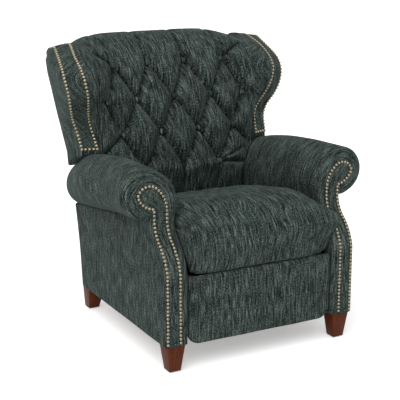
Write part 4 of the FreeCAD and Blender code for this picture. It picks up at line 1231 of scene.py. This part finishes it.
tufts = [[Tuft(x, row) for x in row[1]] for row in tuft_rows]
pleats = []
for upper, lower in zip(tufts, tufts[1:]):
    for a in upper:
        for b in lower:
            if abs(a.spot[0] - b.spot[0]) < 0.100:
                fold = crease_depth if b.spot[0] > a.spot[0] else soft_crease
                pleats.append((a.spot, b.spot, a.depth, b.depth, pleat_middle_depth, pleat_half, fold))
for tuft in tufts[0]:
    end = tuft.spot + np.array([0.05 * tuft.spot[0], 0.175])
    pleats.append((tuft.spot, end, tuft.depth, 0.004, 0.014, 0.060, crease_depth))
for tuft in tufts[-1]:
    end = tuft.spot + np.array([0.0, -0.190])
    pleats.append((tuft.spot, end, tuft.depth, 0.012, 0.018, 0.070, soft_crease))
for row, outwards, upwards, *shape in side_pleats:
    for tuft in (tufts[row][0], tufts[row][-1]):
        end = tuft.spot + np.array([math.copysign(outwards, tuft.spot[0]), upwards])
        pleats.append((tuft.spot, end, tuft.depth, *shape))

pull_sum = np.zeros(plane.shape[:2])
crease = np.zeros(plane.shape[:2])
for a, b, depth_a, depth_b, middle_depth, width, fold in pleats:
    run = b - a
    length = np.linalg.norm(run)
    share = np.clip(((plane - a) @ run) / length ** 2, 0.0, 1.0)
    away = np.linalg.norm(plane - (a + share[..., None] * run), axis=2)
    depth = middle_depth + np.maximum(depth_a - middle_depth, 0) * (1 - share) ** 3
    depth = depth + (depth_b - middle_depth) * share ** 3
    fall = np.clip(1 - away / width, 0.0, 1.0)
    pull_sum += (np.clip(depth, 0, None) * fall ** pleat_fall) ** pull_power
    line_depth = fold * np.clip(depth / middle_depth, 0.0, 1.0) * np.exp(-away / crease_half)
    crease = np.maximum(crease, line_depth)
sink = np.zeros(plane.shape[:2])
draw = np.random.default_rng(7)
for row in tufts:
    for tuft in row:
        offset = plane - tuft.spot
        away = np.linalg.norm(offset, axis=2)
        angle = np.arctan2(offset[..., 1], offset[..., 0])
        fall = np.clip(1 - away / button_half, 0.0, 1.0)
        pull_sum += (tuft.depth * fall ** button_fall) ** pull_power
        folds = np.cos(9 * angle + draw.uniform(0, 6.28)) + 0.5 * np.cos(5 * angle + draw.uniform(0, 6.28))
        sink += pucker_height * folds * np.exp(-((away - pucker_radius) / pucker_half) ** 2)
sink += pull_sum ** (1.0 / pull_power) + crease
sink += uneven(layout, (0.0016, 0.11, 51), (0.0008, 0.045, 52))
fade = ease((back_rows - 1 - row_index) / 14.0)[:, None] * ease(
    (1 - np.abs(column_share)) * back_half / 0.012)[None, :]
front -= tuft_out * (sink * fade)[..., None]

rear_foot = (rear_y(back_foot_z) - pad_gap, back_foot_z)
turn_z = wing_line_z(rear_y(0.62) - pad_gap)
rear_line = np.array([
    rear_foot, (rear_y(turn_z) - pad_gap, turn_z), (rear_y(ledge_z) - pad_gap, ledge_z),
    (rear_y(ledge_z) - cover_gap, ledge_z), (rear_y(back_top_z) - cover_gap, back_top_z)])
rear_stops = np.array([0.0, turn_row, 0.93 * back_rows, 0.97 * back_rows, back_rows - 1.0])
rear_at = np.stack([np.interp(row_index, rear_stops, rear_line[:, axis]) for axis in (0, 1)], axis=1)
back_rings = []
for row in range(back_rows):
    right_edge = front[row, -1]
    left_edge = front[row, 0]
    rear_right = np.array([rear_half[row], *rear_at[row]])
    rear_left = np.array([-rear_half[row], *rear_at[row]])
    wall_right = right_edge + (rear_right - right_edge) * wall_path
    rear = rear_right + (rear_left - rear_right) * np.linspace(0, 1, 26)[1:, None]
    wall_left = left_edge + (rear_left - left_edge) * wall_path[:-1][::-1]
    back_rings.append(np.concatenate([front[row], wall_right, rear, wall_left]))
back_grid = np.array(back_rings)
back_layout = back_grid.copy()
back_layout[:, :back_columns] = layout
back_pad = add_closed("tufted_back", back_grid, laid=back_layout, origin=back_columns // 2)
settle(back_pad, "back", ["back_pad"])


# Tuft buttons: metal shells covered in the same cloth, tied through the pad.
button_radius = 0.0115
button_height = 0.0065
button_lift = 0.001
button_places = [([tuft.seat + tuft_out * button_lift], [tuft_out])
                 for row in tufts for tuft in row if tuft.spot[0] > -0.001]
buttons = set_domes(
    "tuft_buttons", button_places, dome_tree("buttons", False), button_radius, button_height, wrapped_cloth)
settle(buttons, "back", ["back_buttons"])


# Wings: padded boards that curl forward beside the head. A flat border runs between two nail
# rows, the inner cloth meets the tufted pad and the outer cloth runs to the back's rear edge.
wing_foot_z = 0.684
wing_x = back_half + 0.0003
inner_row = (
    (357, 634, 0), (362, 659, 51), (372, 668, 96), (386, 643, 143), (400, 606, 201), (410, 598, 244),
    (415, 606, 279), (416, 640, 316), (413, 700, 351), (403, 752, 374), (393, 806, 390), (386, 868, 378))
outer_row = (
    (412, 655, 0), (419, 680, 60), (434, 680, 106), (453, 652, 154), (466, 634, 202), (474, 634, 244),
    (477, 648, 276), (474, 676, 308), (466, 727, 339), (459, 770, 362), (453, 812, 380), (443, 868, 368))
rear_rises = (-34, 21, 76, 126, 176, 221, 261, 297, 315, 324, 329, 333)
last_corners = ((0.382, 1.050), (0.424, 1.036), (0.430, 1.014), (wing_x, 1.036), (wing_x, 1.055))
last_steps = 6
foot_hang = 0.020
foot_gap = 0.0065
inner_to_edge = 0.009
outer_to_edge = 0.0045
edge_round = 0.0085
corner_steps = 6
corner_most = 0.42
wing_rounds = (edge_round, edge_round, 0.006, 0.002, 0.003)
wing_counts = (9, 20, 4, 10, 14)
side_bulges = np.array([0.0008, 0.006, 0.0, 0.0, 0.007])
foot_turns = ((0.0015, 0.002), (0.005, 0.0035), (0.012, 0.004))
hang_from = 0.292
wing_nail_lift = 0.0006
wing_row_points = 260
foot_row_points = 40


def halved(points):
    """The same smooth row with one more point between each two."""
    padded = np.concatenate([[2 * points[0] - points[1]], points, [2 * points[-1] - points[-2]]])
    between = (padded[1:-2] + padded[2:-1]) * 0.5625 - (padded[:-3] + padded[3:]) * 0.0625
    finer = np.zeros((2 * len(points) - 1, points.shape[1]))
    finer[::2] = points
    finer[1::2] = between
    return finer


def wing_points(row):
    """Row of nails in metres, from millimetres out, behind the feet's plane and above the foot."""
    return np.array(row) / 1000.0 + (0.0, feet_plane, wing_foot_z)


inner_nails = halved(halved(wing_points(inner_row)))
outer_nails = halved(halved(wing_points(outer_row)))
rear_levels = halved(halved(wing_foot_z + np.array(rear_rises)[:, None] / 1000.0))[:, 0]
climbing = edge_line[:int(np.argmax(edge_line[:, 1]))]


def rear_edge_x(z):
    return np.interp(z, (0.620, 0.820, 0.950, 1.000, 1.020), (0.411, 0.434, 0.447, 0.447, 0.436))


def wing_corners(inner, outer, rear_z):
    reach = unit(outer - inner)
    a = inner - reach * inner_to_edge
    b = outer + reach * outer_to_edge
    rear = rear_y(rear_z) - cover_gap
    c = np.array([rear_edge_x(rear_z), rear, rear_z])
    d = np.array([wing_x, rear, rear_z])
    tuck = np.interp(a[2], climbing[:, 1], climbing[:, 0]) + 0.002
    e = np.array([wing_x, tuck, a[2]])
    return np.array([a, b, c, d, e])


wing_sections = [wing_corners(i, o, z) for i, o, z in zip(inner_nails, outer_nails, rear_levels)]
low_section = wing_sections[0].copy()
rear_zero = rear_y(0.0) - cover_gap
low_rear_z = wing_line_z(rear_zero) / (1 + wing_line_fall * back_slope)
for corner in low_section:
    corner[1] = min(corner[1], rear_y(low_rear_z) - cover_gap)
    corner[2] = wing_line_z(corner[1])
wing_sections.insert(0, low_section)
last_front = wing_sections[-1]
last_section = np.array([(x, rear_y(z) - cover_gap, z) for x, z in last_corners])
for step in range(1, last_steps + 1):
    angle = 0.5 * math.pi * step / last_steps
    share = np.array([1 - math.cos(angle), math.sin(angle), 1 - math.cos(angle)])
    wing_sections.append(last_front + (last_section - last_front) * share)


def rounded_ring(corners, rounds, counts, bulges):
    """Ring through a polygon with its corners rounded and its sides swollen outwards."""
    count = len(corners)
    centre = corners.mean(axis=0)
    axis = np.zeros(3)
    for a, b in zip(corners, np.roll(corners, -1, axis=0)):
        axis += np.cross(a - centre, b - centre)
    ring = []
    for number in range(count):
        before, here, after = corners[number - 1], corners[number], corners[(number + 1) % count]
        back, ahead = before - here, after - here
        back_length, ahead_length = np.linalg.norm(back), np.linalg.norm(ahead)
        trim_back = here + back * min(rounds[number] / back_length, corner_most)
        trim_ahead = here + ahead * min(rounds[number] / ahead_length, corner_most)
        for share in np.linspace(0, 1, corner_steps):
            ring.append((1 - share) ** 2 * trim_back + 2 * share * (1 - share) * here
                        + share ** 2 * trim_ahead)
        following = rounds[(number + 1) % count]
        end = after - ahead * min(following / ahead_length, corner_most)
        side = end - trim_ahead
        normal = unit(np.cross(side, unit(axis)))
        if normal @ ((trim_ahead + end) / 2 - centre) < 0:
            normal = -normal
        for share in np.linspace(0, 1, counts[number] + 2)[1:-1]:
            ring.append(trim_ahead + side * share + normal * bulges[number] * 4 * share * (1 - share))
    return np.array(ring)


wing_rings = []
for number, corners in enumerate(wing_sections):
    left_over = min(1.0, (len(wing_sections) - 1 - number) / last_steps)
    wing_rings.append(rounded_ring(corners, wing_rounds, wing_counts, side_bulges * left_over))
foot_ring = wing_rings[0]
foot_ring[:, 2] -= foot_hang * ease((foot_ring[:, 1] - hang_from) / 0.045)
for spot in foot_ring:
    if spot[1] < roll_rear:
        spot[2] = max(spot[2], roll_crown(spot[0], min(spot[1], rear_station)) + foot_gap)
pull = unit(foot_ring.mean(axis=0) - foot_ring)
for inset, drop in foot_turns:
    ring = foot_ring + pull * inset
    ring[:, 2] = foot_ring[:, 2] - drop
    wing_rings.insert(0, ring)
wing_grid = np.array(wing_rings)
swell = uneven(wing_grid, (0.0014, 0.13, 61), (0.0007, 0.05, 62))
spokes = unit(wing_grid - wing_grid.mean(axis=1, keepdims=True))
band = np.zeros(wing_grid.shape[1], bool)
band[:corner_steps + wing_counts[0] + corner_steps] = True
spokes[:, band] = 0.0
spokes[..., 0] = np.where(wing_grid[..., 0] < wing_x + 0.002, 0.0, spokes[..., 0])
wing_grid += spokes * swell[..., None]
wing_grid[..., 0] = np.maximum(wing_grid[..., 0], wing_x)
for side, word in sides:
    wing = add_closed("wing_cover_" + word, wing_grid if side > 0 else mirror_grid(wing_grid))
    settle(wing, "back", ["wing_" + word])

nail_rows = []
for own, partner in ((inner_nails, outer_nails), (outer_nails, inner_nails)):
    line = resampled(own, wing_row_points)
    out = unit(np.cross(resampled(partner, wing_row_points) - line, np.gradient(line, axis=0)))
    out[out[:, 1] > 0] *= -1.0
    nail_rows.append((line + out * wing_nail_lift, out))
foot_run = outer_nails[0] - inner_nails[0]
low_line = inner_nails[0] + foot_run * np.linspace(0.0, 1.0, foot_row_points)[:, None]
low_out = np.tile(nail_rows[0][1][0], (foot_row_points, 1))
inset_share = nail_pitch / np.linalg.norm(foot_run)
keep = slice(int(foot_row_points * inset_share), int(foot_row_points * (1 - inset_share)) + 1)
nail_rows.append(((low_line + low_out * wing_nail_lift)[keep], low_out[keep]))
wing_trim = set_domes("wing_nail_trim", nail_rows, nail_tree, nail_radius, nail_height, nail_brass)
settle(wing_trim, "back", ["wing_nails"])


# Outside back: one cloth over board, wide behind the wings and narrow between the arms, crowned
# a little and turned under at its edges. The posts are wrapped where they show under the wings.
dress(wrapped_cloth, "back_posts")
outside_low, outside_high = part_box("outside_back")
outside_columns = 60
outside_board = 0.0045
outside_crown = 0.004
outside_edge = 0.007
outside_tuck = 0.006
narrow_z = 0.586
wide_z = 0.616
reach_levels = (0.612, 0.820, 0.950, 1.000, 1.016, 1.030, 1.050)
reach_sizes = (0.408, 0.432, 0.445, 0.444, 0.434, 0.416, 0.372)
levels = np.concatenate([
    np.linspace(outside_low[2], narrow_z, 46)[:-1], np.linspace(narrow_z, wide_z, 22)[:-1],
    np.linspace(wide_z, outside_high[2], 70)])
reach = np.interp(levels, (0.588, *reach_levels), (back_low_half, *reach_sizes))
shares = crowded(outside_columns)
along_up = np.linspace(-1, 1, len(levels))
edge_fall = np.clip((1 - np.abs(shares)) * 0.40 / outside_edge, 0, 1)
edge_up = np.clip(np.minimum(levels - levels[0], levels[-1] - levels) / outside_edge, 0, 1)
rounding = np.sqrt(1 - (1 - edge_fall) ** 2)[None, :] * np.sqrt(1 - (1 - edge_up) ** 2)[:, None]
crown = outside_crown * (1 - shares ** 2)[None, :] * (1 - along_up ** 2)[:, None]
outside_grid = np.zeros((len(levels), outside_columns, 3))
outside_grid[..., 0] = reach[:, None] * shares[None, :]
outside_grid[..., 2] = levels[:, None]
outside_grid[..., 1] = rear_y(levels)[:, None] - outside_tuck * (1 - rounding) + crown
outside_grid[..., 1] += uneven(outside_grid, (0.0010, 0.20, 71), (0.0006, 0.06, 72))
add_cover("outside_back_cover", outside_grid[:, ::-1], "columns", outside_board, "back", ["outside_back"])
